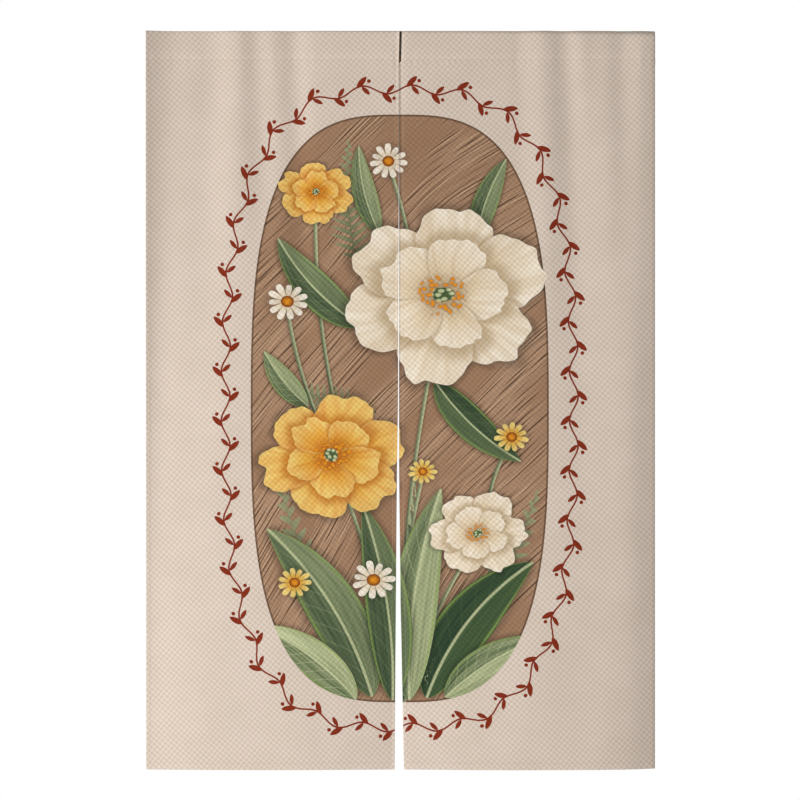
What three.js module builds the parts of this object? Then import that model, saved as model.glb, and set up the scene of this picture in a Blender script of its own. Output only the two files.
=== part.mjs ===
// A door curtain of two cloth panels that part down the middle and share one sleeve along their top edge.
// Millimetres, +Z up. The origin is the middle of the sleeve's top edge. The front faces -Y, and +X is to the
// right as seen from the front.
import * as THREE from 'three';

const { lerp, clamp, smoothstep } = THREE.MathUtils;
const METRE = 1000;

// The hung curtain
const DROP = 1200;
const LEFT_EDGE = -412.8;
const RIGHT_EDGE = 413.3;
const CLOTH = 1.2; // thickness of one layer
const SEWN_GAP = 0.4; // clearance between pieces that are sewn to each other

// The sleeve along the top edge, open at both ends for a pole
const SLEEVE_DROP = 47; // top edge to the row of stitching
const SLEEVE_DEPTH = 29; // front to back at its widest
const SLEEVE_LAND = 8; // margin of the strip below the stitching
const SEAM_SET = 1.2; // how far back the stitching draws the panels
const SEAM_REACH = 14; // height above the stitching over which the panels are drawn back
const FRONT_ROLL = 5; // radius on which the panels roll back over the top edge
const BACK_ROLL = 10; // radius on which the strip turns down at the back
const STRAIGHT_TO = 30; // drop to which the strip hangs straight before it closes on the panels
const SLEEVE_FOOT = SLEEVE_DROP + SLEEVE_LAND;

// Hems turned to the back of each panel
const SIDE_HEM = 8;
const FOOT_HEM = 12;
const HEM_EXTRA = 1.1; // thickness that a hem adds
const HEM_STEP = 1; // run over which a hem's turned edge rises
const HEM_FROM = SLEEVE_FOOT + 3; // drops between which the side hems come to their full thickness
const HEM_FULL = HEM_FROM + 4;

// The parting: a slot in front of the sleeve, edges that meet below it, and a slit that opens downwards
const PARTING_X = -2.5;
const PARTING_GAP = 0.5;
const SLOT_EXTRA = 2.9; // how much wider the slot is than the parting
const SLOT_LEAN = 1.1; // how far the slot leans to the right at the top edge
const SLOT_CLOSE = 3; // height over which the slot closes below the stitching
// The drop at which each inner edge begins to move aside, how far it has moved at the foot, and how it grows
const OPEN_LEFT = { from: 195, aside: 7.1, power: 1.15 };
const OPEN_RIGHT = { from: 690, aside: 8.2, power: 1.2 };

// Folds that fall from the top edge, one row each. x: place at the top edge. height: towards the front for a
// ridge, negative for a trough. width: half width. lean: drift to the right per metre of drop. fade: drop in
// which the fold dies away.
const FOLDS = [
  { x: -421, height: 2.2, width: 15, lean: 0, fade: 820 },
  { x: -424, height: 5.2, width: 27, lean: -20, fade: 1100 },
  { x: -366, height: -3.4, width: 31, lean: -40, fade: 1000 },
  { x: -302, height: -6.0, width: 43, lean: -40, fade: 475 },
  { x: -264, height: 3.6, width: 36, lean: -40, fade: 770 },
  { x: -237, height: -4.5, width: 22, lean: 40, fade: 290 },
  { x: -175, height: -4.3, width: 22, lean: 40, fade: 700 },
  { x: 194, height: -0.9, width: 12, lean: 0, fade: 160 },
  { x: 232, height: 4.4, width: 26, lean: 8, fade: 480 },
  { x: 273, height: -3.4, width: 22, lean: 30, fade: 560 },
  { x: 288, height: 4.7, width: 22, lean: 40, fade: 140 },
  { x: 338, height: 5.0, width: 27, lean: 20, fade: 560 },
  { x: 365, height: -5.8, width: 34, lean: 40, fade: 600 },
  { x: 382, height: 6.2, width: 27, lean: 0, fade: 850 },
];

// Each panel's billow towards the front at its foot, and the columns of faces across it. A zone of columns
// runs to the given x, and folded stretches have more spans than smooth ones.
const PANELS = [
  {
    name: 'panel_left',
    left: () => LEFT_EDGE,
    right: (drop) => innerEdge(-1, drop),
    billow: 9,
    zones: [{ to: -300, spans: 11 }, { to: -135, spans: 17 }, { to: PARTING_X, spans: 8 }],
    color: 0xd4c2b0,
  },
  {
    name: 'panel_right',
    left: (drop) => innerEdge(1, drop),
    right: () => RIGHT_EDGE,
    billow: 10.5,
    zones: [{ to: 170, spans: 9 }, { to: 395, spans: 28 }, { to: RIGHT_EDGE, spans: 1 }],
    color: 0xcdb9a6,
  },
];

// The right-hand edge turns back, more so towards the foot
const CURL_TOP = { depth: 2.5, reach: 25 };
const CURL_FOOT = { depth: 11, reach: 95 };

// Rows of faces
const ROLL_SPANS = 3;
const SEAM_DROPS = [-SEAM_REACH, -SEAM_REACH / 2, 0, SLOT_CLOSE].map((step) => SLEEVE_DROP + step);
const SLEEVE_DROPS = [FRONT_ROLL, SLEEVE_DROP / 2, ...SEAM_DROPS, SLEEVE_FOOT];
const BODY_SPANS = 15;
const BODY_CROWDING = 1.35; // rows lie closer together near the top, where the folds are
const STRIP_SPANS = 11;

const HEADING_COLOR = 0xcab8a5;
const ROUGHNESS = 0.9;

const ROLL_LENGTH = FRONT_ROLL * Math.PI / 2;
const NUDGE_ACROSS = 0.002; // half steps for measuring a surface's slope: a share of its width, and a length
const NUDGE_DOWN = 0.01;
const RIGHT_START = 2; // across the heading, u is 0 to 1 behind the left panel and 2 to 3 behind the right

const spread = (from, to, spans) => Array.from({ length: spans + 1 }, (_, i) => lerp(from, to, i / spans));

// Inner edge of the left (side -1) or right (side 1) panel.
function innerEdge(side, drop) {
  const parting = PARTING_X + SLOT_LEAN * (1 - clamp(drop / SLEEVE_DROP, 0, 1));
  const slotOpen = 1 - smoothstep(drop, SLEEVE_DROP, SLEEVE_DROP + SLOT_CLOSE);
  const slot = side > 0 ? SLOT_EXTRA * slotOpen : 0;
  const open = side < 0 ? OPEN_LEFT : OPEN_RIGHT;
  const opening = Math.max(0, drop - open.from) / (DROP - open.from);
  return parting + slot + side * (PARTING_GAP / 2 + open.aside * opening ** open.power);
}

// How far the folds lift the cloth towards the front.
function foldLift(x, drop) {
  return FOLDS.reduce((sum, fold) => {
    const across = (x - fold.x - fold.lean * drop / METRE) / fold.width;
    const down = drop / fold.fade;
    return sum + fold.height * Math.exp(-across * across - down * down);
  }, 0);
}

// How far a panel billows towards the front below the sleeve.
function billowLift(x, drop) {
  const [panel, outer] = x < PARTING_X ? [PANELS[0], LEFT_EDGE] : [PANELS[1], RIGHT_EDGE];
  const across = clamp((x - outer) / (PARTING_X - outer), 0, 1);
  return panel.billow * Math.sin(Math.PI * across) * smoothstep(drop, SLEEVE_FOOT, DROP);
}

// How far the right-hand edge turns back.
function curlBack(x, drop) {
  const down = drop / DROP;
  const reach = lerp(CURL_TOP.reach, CURL_FOOT.reach, down);
  const nearness = Math.max(0, 1 - (RIGHT_EDGE - x) / reach);
  return lerp(CURL_TOP.depth, CURL_FOOT.depth, down) * nearness ** 2;
}

// Depth of the panels' front face, which the stitching draws back a little.
function frontY(x, drop) {
  const drawn = clamp((drop - SLEEVE_DROP + SEAM_REACH) / SEAM_REACH, 0, 1) ** 2;
  const lift = foldLift(x, drop) + billowLift(x, drop) - curlBack(x, drop);
  return -SLEEVE_DEPTH / 2 + SEAM_SET * drawn - lift;
}

// Outward normal of a surface whose u runs to the right and whose v runs down its face.
function outwardNormal(surface, u, v) {
  const across = surface(u + NUDGE_ACROSS, v).sub(surface(u - NUDGE_ACROSS, v));
  const down = surface(u, v + NUDGE_DOWN).sub(surface(u, v - NUDGE_DOWN));
  return down.cross(across).normalize();
}

// A closed sheet: an outer face on the surface, an inner face its thickness behind it, and the rim between.
function sheetGeometry(surface, columns, rows, thickness) {
  const outer = [];
  const inner = [];
  for (const v of rows) {
    for (const u of columns) {
      const point = surface(u, v);
      const normal = outwardNormal(surface, u, v);
      outer.push(...point);
      inner.push(...point.clone().addScaledVector(normal, -thickness(u, v)));
    }
  }
  const across = columns.length;
  const down = rows.length;
  const back = across * down;
  const index = [];
  const quad = (a, b, c, d) => index.push(a, b, c, a, c, d);
  for (let j = 0; j < down - 1; j += 1) {
    for (let i = 0; i < across - 1; i += 1) {
      const a = j * across + i;
      quad(a, a + across, a + across + 1, a + 1);
      quad(back + a, back + a + 1, back + a + across + 1, back + a + across);
    }
  }
  const rim = [];
  for (let j = 0; j < down - 1; j += 1) rim.push(j * across);
  for (let i = 0; i < across - 1; i += 1) rim.push((down - 1) * across + i);
  for (let j = down - 1; j > 0; j -= 1) rim.push(j * across + across - 1);
  for (let i = across - 1; i > 0; i -= 1) rim.push(i);
  rim.forEach((a, k) => {
    const b = rim[(k + 1) % rim.length];
    quad(a, back + a, back + b, b);
  });
  const geometry = new THREE.BufferGeometry();
  geometry.setAttribute('position', new THREE.Float32BufferAttribute([...outer, ...inner], 3));
  geometry.setIndex(index);
  geometry.computeVertexNormals();
  return geometry;
}

// Columns across a panel, as shares of its width, with a pair at each side for the hem's turned edge.
function panelColumns(panel) {
  const from = panel.left(SLEEVE_DROP);
  const to = panel.right(SLEEVE_DROP);
  const marks = [from, from + SIDE_HEM];
  let start = from + SIDE_HEM + HEM_STEP;
  for (const zone of panel.zones) {
    const end = Math.min(zone.to, to - SIDE_HEM - HEM_STEP);
    marks.push(...spread(start, end, zone.spans).slice(0, -1));
    start = end;
  }
  marks.push(start, to - SIDE_HEM, to);
  return marks.map((x) => (x - from) / (to - from));
}

// Rows down a panel, as lengths of cloth from the back of the roll.
function panelRows() {
  const footHemTop = DROP - FOOT_HEM;
  const body = spread(0, 1, BODY_SPANS).map((t) => lerp(HEM_FULL, footHemTop - HEM_STEP, t ** BODY_CROWDING));
  const drops = [...SLEEVE_DROPS, HEM_FROM, ...body, footHemTop, DROP];
  const roll = spread(0, ROLL_LENGTH, ROLL_SPANS).slice(0, -1);
  return [...roll, ...drops.map((drop) => ROLL_LENGTH + drop - FRONT_ROLL)];
}

// One front panel, rolled back over the top edge, with its hems.
function panelMesh(panel) {
  const dropAt = (v) => FRONT_ROLL + Math.max(0, v - ROLL_LENGTH);
  const surface = (u, v) => {
    const turn = Math.max(0, ROLL_LENGTH - v) / FRONT_ROLL;
    const drop = dropAt(v);
    const z = -drop + FRONT_ROLL * Math.sin(turn);
    const x = lerp(panel.left(-z), panel.right(-z), u);
    const y = frontY(x, drop) + FRONT_ROLL * (1 - Math.cos(turn));
    return new THREE.Vector3(x, y, z);
  };
  const thickness = (u, v) => {
    const drop = dropAt(v);
    const width = panel.right(drop) - panel.left(drop);
    const toSide = Math.min(u, 1 - u) * width;
    const side = smoothstep(-toSide, -SIDE_HEM - HEM_STEP, -SIDE_HEM) * smoothstep(drop, HEM_FROM, HEM_FULL);
    const foot = smoothstep(drop, DROP - FOOT_HEM - HEM_STEP, DROP - FOOT_HEM);
    return CLOTH + HEM_EXTRA * Math.max(side, foot);
  };
  const geometry = sheetGeometry(surface, panelColumns(panel), panelRows(), thickness);
  return clothMesh(panel.name, geometry, panel.color);
}

// Section of the heading strip: how far its outer face lies behind the panels' front face, and how high, from
// its lower margin up the back of the sleeve and forward over the top edge.
function headingSection() {
  const landBack = 2 * CLOTH + SEWN_GAP;
  const shoulder = SLEEVE_DEPTH - BACK_ROLL;
  const bend = (SLEEVE_DROP - STRAIGHT_TO) / 2;
  const section = new THREE.CurvePath();
  const land = new THREE.Vector2(landBack, -SLEEVE_FOOT);
  const stitching = new THREE.Vector2(landBack, -SLEEVE_DROP);
  const straightFoot = new THREE.Vector2(SLEEVE_DEPTH, -STRAIGHT_TO);
  const straightTop = new THREE.Vector2(SLEEVE_DEPTH, -BACK_ROLL);
  const topEdge = new THREE.Vector2(FRONT_ROLL + SEWN_GAP, 0);
  const leaving = new THREE.Vector2(landBack, -SLEEVE_DROP + bend);
  const arriving = new THREE.Vector2(SLEEVE_DEPTH, -STRAIGHT_TO - bend);
  section.add(new THREE.LineCurve(land, stitching));
  section.add(new THREE.CubicBezierCurve(stitching, leaving, arriving, straightFoot));
  section.add(new THREE.LineCurve(straightFoot, straightTop));
  section.add(new THREE.EllipseCurve(shoulder, -BACK_ROLL, BACK_ROLL, BACK_ROLL, 0, Math.PI / 2));
  section.add(new THREE.LineCurve(new THREE.Vector2(shoulder, 0), topEdge));
  return section;
}

// The heading strip across both panels. Its columns are those of the two panels, side by side.
function headingMesh() {
  const section = headingSection();
  const length = section.getLength();
  const [leftPanel, rightPanel] = PANELS;
  const surface = (u, v) => {
    const at = section.getPointAt(clamp(v / length, 0, 1));
    const drop = -at.y;
    const [panel, share] = u > RIGHT_START - 1 / 2 ? [rightPanel, u - RIGHT_START] : [leftPanel, u];
    const x = lerp(panel.left(drop), panel.right(drop), share);
    const y = frontY(x, Math.max(drop, FRONT_ROLL)) + at.x;
    return new THREE.Vector3(x, y, at.y);
  };
  const columns = [...panelColumns(leftPanel), ...panelColumns(rightPanel).map((u) => u + RIGHT_START)];
  const rows = [0, ...spread(SLEEVE_LAND, length, STRIP_SPANS)];
  return clothMesh('heading', sheetGeometry(surface, columns, rows, () => CLOTH), HEADING_COLOR);
}

// A named piece of matt cloth.
function clothMesh(name, geometry, color) {
  const material = new THREE.MeshStandardMaterial({ color, roughness: ROUGHNESS, metalness: 0 });
  const mesh = new THREE.Mesh(geometry, material);
  mesh.name = name;
  return mesh;
}

const curtain = new THREE.Group();
curtain.add(...PANELS.map(panelMesh), headingMesh());

export default curtain;
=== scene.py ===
"""Dress the door curtain: printed panels, heading strip, stitching, studio light and camera."""

import logging
import math
from collections.abc import Iterable, Mapping, Sequence
from dataclasses import dataclass, field
from enum import Enum

import bpy
import numpy as np
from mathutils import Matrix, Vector


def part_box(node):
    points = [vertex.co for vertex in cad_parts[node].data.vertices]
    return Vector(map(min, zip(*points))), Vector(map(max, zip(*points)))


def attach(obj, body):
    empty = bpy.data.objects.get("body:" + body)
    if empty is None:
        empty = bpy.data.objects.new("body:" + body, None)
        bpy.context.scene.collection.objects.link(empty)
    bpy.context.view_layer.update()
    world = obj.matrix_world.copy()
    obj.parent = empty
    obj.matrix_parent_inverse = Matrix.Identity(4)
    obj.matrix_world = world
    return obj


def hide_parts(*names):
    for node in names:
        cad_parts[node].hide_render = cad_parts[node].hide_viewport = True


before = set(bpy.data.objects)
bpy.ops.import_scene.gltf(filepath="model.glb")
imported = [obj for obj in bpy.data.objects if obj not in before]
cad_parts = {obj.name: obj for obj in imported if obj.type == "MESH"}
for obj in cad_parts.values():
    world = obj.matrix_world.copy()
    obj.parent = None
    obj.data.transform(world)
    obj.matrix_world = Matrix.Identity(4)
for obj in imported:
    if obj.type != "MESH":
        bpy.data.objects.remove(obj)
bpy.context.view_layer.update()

log = logging.getLogger("door_curtain")

MM = 0.001
VIEW_X = -1.12 * MM
VIEW_Z = -599.9 * MM
STITCH_PROUD = 0.12 * MM
BODY = "root"
TAU = 2 * math.pi

Colour = tuple[float, float, float, float]


def ink(red: int, green: int, blue: int) -> Colour:
    """Turn screen colour levels into the linear colour that shaders use.

    Args:
        red: Level from 0 to 255.
        green: Level from 0 to 255.
        blue: Level from 0 to 255.

    Returns:
        The linear colour, with full alpha.
    """
    shares = [level / 255 for level in (red, green, blue)]
    linear = [s / 12.92 if s <= 0.04045 else ((s + 0.055) / 1.055) ** 2.4 for s in shares]
    return (linear[0], linear[1], linear[2], 1.0)


def ease(low: float, high: float, value: np.ndarray) -> np.ndarray:
    """Rise smoothly from 0 to 1 between two values.

    Args:
        low: Where the rise begins.
        high: Where the rise ends.
        value: Values to read the rise at.

    Returns:
        The rise at each value.
    """
    share = np.clip((value - low) / (high - low), 0, 1)
    return share * share * (3 - 2 * share)


def add_object(name: str, data: bpy.types.ID) -> bpy.types.Object:
    """Add an object to the scene.

    Args:
        name: Its name.
        data: Its mesh, camera or light.

    Returns:
        The object.
    """
    thing = bpy.data.objects.new(name, data)
    bpy.context.scene.collection.objects.link(thing)
    return thing


class Side(Enum):
    """Which panel of the pair, as seen from the front."""

    LEFT = -1
    RIGHT = 1


class Held(Enum):
    """How a sheet of cloth is held."""

    HUNG = "hung"


@dataclass(frozen=True)
class Fold:
    """One ridge or trough that falls from the top edge, in millimetres.

    Attributes:
        x: Place at the top edge.
        height: Lift towards the front, negative for a trough.
        width: Half width.
        lean: Drift to the right per metre of drop.
        fade: Drop over which the fold dies away.
    """

    x: float
    height: float
    width: float
    lean: float
    fade: float


FOLDS = (
    Fold(-421, 2.2, 15, 0, 820),
    Fold(-424, 5.2, 27, -20, 1100),
    Fold(-366, -3.4, 31, -40, 1000),
    Fold(-302, -6.0, 43, -40, 475),
    Fold(-264, 3.6, 36, -40, 770),
    Fold(-237, -4.5, 22, 40, 290),
    Fold(-175, -4.3, 22, 40, 700),
    Fold(194, -0.9, 12, 0, 160),
    Fold(232, 4.4, 26, 8, 480),
    Fold(273, -3.4, 22, 30, 560),
    Fold(288, 4.7, 22, 40, 140),
    Fold(338, 5.0, 27, 20, 560),
    Fold(365, -5.8, 34, 40, 600),
    Fold(382, 6.2, 27, 0, 850),
)


@dataclass(frozen=True)
class Opening:
    """How a panel's inner edge moves aside below, in metres.

    Attributes:
        start: Drop at which it begins.
        aside: How far it has moved at the foot.
        power: How it grows on the way.
        held: How far it is held back part of the way down.
        held_at: Drop at which it is held back most.
        held_reach: Reach of that place up and down.
    """

    start: float
    aside: float
    power: float
    held: float
    held_at: float
    held_reach: float

    def read(self, drop: np.ndarray, foot: float) -> np.ndarray:
        """Read how far the edge has moved aside.

        Args:
            drop: Drops to read it at.
            foot: Drop of the foot.

        Returns:
            The distance at each drop.
        """
        share = np.clip((drop - self.start) / (foot - self.start), 0, None)
        held = self.held * np.exp(-(((drop - self.held_at) / self.held_reach) ** 2))
        return self.aside * share**self.power - held


@dataclass(frozen=True)
class Hang:
    """The form in which the cloth hangs.

    Lengths are in metres, and drops are measured down from the top edge. A pair of lengths is for the
    left and the right, or for the top and the foot.
    """

    left_edge: float
    right_edge: float
    drop: float
    folds: Sequence[Fold] = FOLDS
    # The sleeve, and how far its seam draws the front back
    sleeve_drop: float = 47 * MM
    sleeve_depth: float = 29 * MM
    sleeve_land: float = 8 * MM
    seam_set: float = 1.2 * MM
    seam_reach: float = 14 * MM
    # The roll at the top edge, which grows deeper to the right
    front_roll: float = 5 * MM
    roll_drop: tuple[float, float] = (1.3 * MM, 10.5 * MM)
    roll_extra: float = 5 * MM
    roll_settle: float = 20 * MM
    # The slot in front of the sleeve, and the parting below it
    slot_extra: float = 3.4 * MM
    slot_lean: float = 1.1 * MM
    slot_below: float = 5.0 * MM
    slot_close: float = 1.2 * MM
    parting_x: float = -2.75 * MM
    parting_gap: float = 0.15 * MM
    lip_lift: tuple[float, float] = (0.7 * MM, -0.8 * MM)
    lip_reach: tuple[float, float] = (3.2 * MM, 7 * MM)
    open_left: Opening = Opening(195 * MM, 7.1 * MM, 1.15, 0.9 * MM, 590 * MM, 90 * MM)
    open_right: Opening = Opening(690 * MM, 7.9 * MM, 1.38, 0.45 * MM, 935 * MM, 32 * MM)
    # The slack of the panels, and the turn of the right-hand edge
    billow_left: float = 9 * MM
    billow_right: float = 10.5 * MM
    curl_depth: tuple[float, float] = (1.3 * MM, 11 * MM)
    curl_reach: tuple[float, float] = (25 * MM, 95 * MM)
    edge_flare: tuple[float, float] = (0.7 * MM, 1.5 * MM)
    edge_turn: float = 1.8 * MM
    edge_reach: float = 3 * MM
    # Puckers along the seam, made of waves with these lengths in millimetres
    pucker_height: float = 0.16 * MM
    pucker_reach: float = 17 * MM
    pucker_lengths: tuple[float, ...] = (7.5, 9.8, 13.0, 17.5, 24.0)
    pucker_patch: float = 190 * MM
    # Ripples below, made of waves with a least and a greatest number per metre
    ripple_height: float = 0.3 * MM
    ripples: int = 7
    ripple_across: tuple[float, float] = (3.0, 9.0)
    ripple_down: tuple[float, float] = (0.6, 3.0)
    seed: int = 11

    @property
    def sleeve_foot(self) -> float:
        """Drop of the heading strip's lower edge."""
        return self.sleeve_drop + self.sleeve_land

    @property
    def slot_foot(self) -> float:
        """Drop at which the slot in front of the sleeve has closed."""
        return self.sleeve_drop + self.slot_below

    def inner_edge(self, side: Side, drop: np.ndarray) -> np.ndarray:
        """Find a panel's inner edge at the parting.

        Args:
            side: Which panel.
            drop: Drops to read it at.

        Returns:
            The edge's x at each drop.
        """
        parting = self.parting_x + self.slot_lean * (1 - np.clip(drop / self.sleeve_drop, 0, 1))
        if side is Side.RIGHT:
            closed = ease(self.slot_foot - self.slot_close, self.slot_foot, drop)
            parting = parting + self.slot_extra * (1 - closed)
        opening = self.open_left if side is Side.LEFT else self.open_right
        return parting + side.value * (self.parting_gap / 2 + opening.read(drop, self.drop))

    def outer_edge(self, drop: np.ndarray) -> np.ndarray:
        """Find the right-hand outer edge, which flares towards the foot.

        Args:
            drop: Drops to read it at.

        Returns:
            The edge's x at each drop.
        """
        top, foot = self.edge_flare
        return self.right_edge + top + (foot - top) * drop / self.drop

    def inner_lip(self, side: Side, x: np.ndarray, drop: np.ndarray) -> np.ndarray:
        """Read how far a panel's inner hem stands forward at the parting.

        Args:
            side: Which panel.
            x: Places across the panel.
            drop: Drops, of the same shape.

        Returns:
            Lift towards the front.
        """
        place = 0 if side is Side.LEFT else 1
        away = (x - self.inner_edge(side, drop)) / self.lip_reach[place]
        return self.lip_lift[place] * np.exp(-away * away)

    def share_across(self, x: np.ndarray) -> np.ndarray:
        """Read how far across the curtain a place lies, from 0 at the left to 1 at the right."""
        return np.clip((x - self.left_edge) / (self.right_edge - self.left_edge), 0, 1)

    def roll_fall(self, x: np.ndarray) -> np.ndarray:
        """Read the height over which the panels roll back at the top edge, which grows to the right."""
        return self.roll_drop[0] + (self.roll_drop[1] - self.roll_drop[0]) * self.share_across(x) ** 2

    def roll_depth(self, x: np.ndarray) -> np.ndarray:
        """Read how far back the panels roll at the top edge, which grows to the right."""
        return self.front_roll + self.roll_extra * self.share_across(x) ** 4

    def fold_lift(self, x: np.ndarray, drop: np.ndarray) -> np.ndarray:
        """Sum the folds that fall from the top edge.

        Args:
            x: Places across the curtain.
            drop: Drops, of the same shape.

        Returns:
            Lift towards the front.
        """
        total = np.zeros_like(x)
        for fold in self.folds:
            across = (x - (fold.x + fold.lean * drop) * MM) / (fold.width * MM)
            down = drop / (fold.fade * MM)
            total += fold.height * MM * np.exp(-across * across - down * down)
        return total

    def billow_lift(self, x: np.ndarray, drop: np.ndarray) -> np.ndarray:
        """Read how far the panels billow towards the front below the sleeve.

        Args:
            x: Places across the curtain.
            drop: Drops, of the same shape.

        Returns:
            Lift towards the front.
        """
        on_left = x < self.parting_x
        outer = np.where(on_left, self.left_edge, self.right_edge)
        height = np.where(on_left, self.billow_left, self.billow_right)
        across = np.clip((x - outer) / (self.parting_x - outer), 0, 1)
        return height * np.sin(math.pi * across) * ease(self.sleeve_foot, self.drop, drop)

    def curl_back(self, x: np.ndarray, drop: np.ndarray) -> np.ndarray:
        """Read how far the right-hand edge turns back.

        Args:
            x: Places across the curtain.
            drop: Drops, of the same shape.

        Returns:
            Distance towards the back.
        """
        share = drop / self.drop
        reach = self.curl_reach[0] + (self.curl_reach[1] - self.curl_reach[0]) * share
        depth = self.curl_depth[0] + (self.curl_depth[1] - self.curl_depth[0]) * share
        nearness = np.clip(1 - (self.right_edge - x) / reach, 0, None)
        at_edge = np.clip(1 - (self.right_edge - x) / self.edge_reach, 0, None)
        return depth * nearness**2 + self.edge_turn * at_edge**2

    def small_lift(self, x: np.ndarray, drop: np.ndarray) -> np.ndarray:
        """Sum the fine unevenness: puckers along the sleeve's seam and faint ripples in the cloth.

        Args:
            x: Places across the curtain.
            drop: Drops, of the same shape.

        Returns:
            Lift towards the front.
        """
        draw = np.random.default_rng(self.seed)
        puckers = np.zeros_like(x)
        for length in self.pucker_lengths:
            puckers += np.sin(TAU * x / (length * MM) + draw.uniform(0, TAU)) * draw.uniform(0.5, 1.0)
        near_seam = np.exp(-(((drop - self.sleeve_drop) / self.pucker_reach) ** 2))
        patchy = 0.6 + 0.4 * np.sin(TAU * x / self.pucker_patch + 1.0)
        ripples = np.zeros_like(x)
        for _ in range(self.ripples):
            across = draw.uniform(*self.ripple_across) * draw.choice((-1, 1))
            down = draw.uniform(*self.ripple_down)
            ripples += np.sin(TAU * (across * x + down * drop) + draw.uniform(0, TAU)) / 3
        below = ease(self.sleeve_foot, 3 * self.sleeve_foot, drop)
        return self.pucker_height * puckers * near_seam * patchy + self.ripple_height * ripples * below

    def front_y(self, x: np.ndarray, drop: np.ndarray) -> np.ndarray:
        """Find the depth of the panels' front face.

        Args:
            x: Places across the curtain.
            drop: Drops, of the same shape.

        Returns:
            The face's y, which falls towards the front.
        """
        drawn = np.clip((drop - self.sleeve_drop + self.seam_reach) / self.seam_reach, 0, 1) ** 2
        lift = self.fold_lift(x, drop) + self.billow_lift(x, drop) + self.small_lift(x, drop)
        return -self.sleeve_depth / 2 + self.seam_set * drawn - lift + self.curl_back(x, drop)


def run_length(points: np.ndarray) -> float:
    """Measure along a line of points."""
    return float(np.linalg.norm(np.diff(points, axis=0), axis=1).sum())


def bowed(base: np.ndarray, tip: np.ndarray, bow: float, steps: int = 40) -> np.ndarray:
    """Draw a curve from a base to a tip that bows to one side.

    Args:
        base: Start point.
        tip: End point.
        bow: How far the curve's pull lies to the left of the straight line.
        steps: Number of points.

    Returns:
        The curve's points, a row each.
    """
    run = tip - base
    pull = (base + tip) / 2 + bow * np.array([-run[1], run[0]]) / np.hypot(*run)
    t = np.linspace(0, 1, steps)[:, None]
    return (1 - t) ** 2 * base + 2 * t * (1 - t) * pull + t**2 * tip


def rounded_oblong(centre: np.ndarray, half: np.ndarray, power: float, steps: int = 400) -> np.ndarray:
    """Draw a closed oblong with soft corners, clockwise from the middle of its foot.

    Args:
        centre: Middle point.
        half: Half width and half height.
        power: 2 is an ellipse, and more makes the corners fuller.
        steps: Number of points.

    Returns:
        The outline's points, with the first one repeated at the end.
    """
    angle = np.linspace(0, TAU, steps)
    shape = np.stack([-np.sin(angle), np.cos(angle)], axis=1)
    return centre + half * np.sign(shape) * np.abs(shape) ** (2 / power)


def beside_curve(
    points: np.ndarray, curve: np.ndarray, closed: bool = False
) -> tuple[np.ndarray, np.ndarray]:
    """Find where points lie beside a curve.

    Args:
        points: Points, a row each.
        curve: The curve's points, a row each.
        closed: Whether the curve ends where it begins. If not, it goes on straight past its ends.

    Returns:
        Length along the curve and offset to its left for each point.
    """
    steps = np.diff(curve, axis=0)
    lengths = np.hypot(steps[:, 0], steps[:, 1])
    starts = np.concatenate([[0.0], np.cumsum(lengths)])
    nearest = np.full(len(points), np.inf)
    along = np.zeros(len(points))
    offset = np.zeros(len(points))
    first_open = -1 if closed else 0
    last_open = -1 if closed else len(steps) - 1
    for i, step in enumerate(steps):
        away = points - curve[i]
        share = away @ step / lengths[i] ** 2
        share = np.clip(share, -np.inf if i == first_open else 0, np.inf if i == last_open else 1)
        gap = away - share[:, None] * step
        distance = np.hypot(gap[:, 0], gap[:, 1])
        closer = distance < nearest
        left = np.sign(step[0] * away[:, 1] - step[1] * away[:, 0])
        nearest = np.where(closer, distance, nearest)
        along = np.where(closer, starts[i] + share * lengths[i], along)
        offset = np.where(closer, left * distance, offset)
    return along, offset


@dataclass(frozen=True)
class Bloom:
    """A flower in the print, in millimetres across and down from the middle of the top edge.

    Attributes:
        x: Place across.
        down: Place down.
        radius: Radius of its petals.
        squash: Height as a share of its width, for a flower seen at a slant.
        turn: Turn in degrees.
        gold: 0 for cream petals and 1 for golden ones.
    """

    x: float
    down: float
    radius: float
    squash: float
    turn: float
    gold: float = 0.0


@dataclass(frozen=True)
class Blade:
    """A leaf or frond in the print, in millimetres across and down from the middle of the top edge.

    Attributes:
        base: Where it leaves its stem.
        tip: Where it ends.
        bow: How far it bows to the left of the straight line.
        half_width: Half its greatest width.
        tone: 0 for the darkest green and 1 for the palest.
        layer: Which layer of the print holds it.
    """

    base: tuple[float, float]
    tip: tuple[float, float]
    bow: float
    half_width: float
    tone: float
    layer: int = 0


@dataclass(frozen=True)
class Stem:
    """A stem in the print, in millimetres across and down from the middle of the top edge."""

    base: tuple[float, float]
    tip: tuple[float, float]
    bow: float


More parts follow.
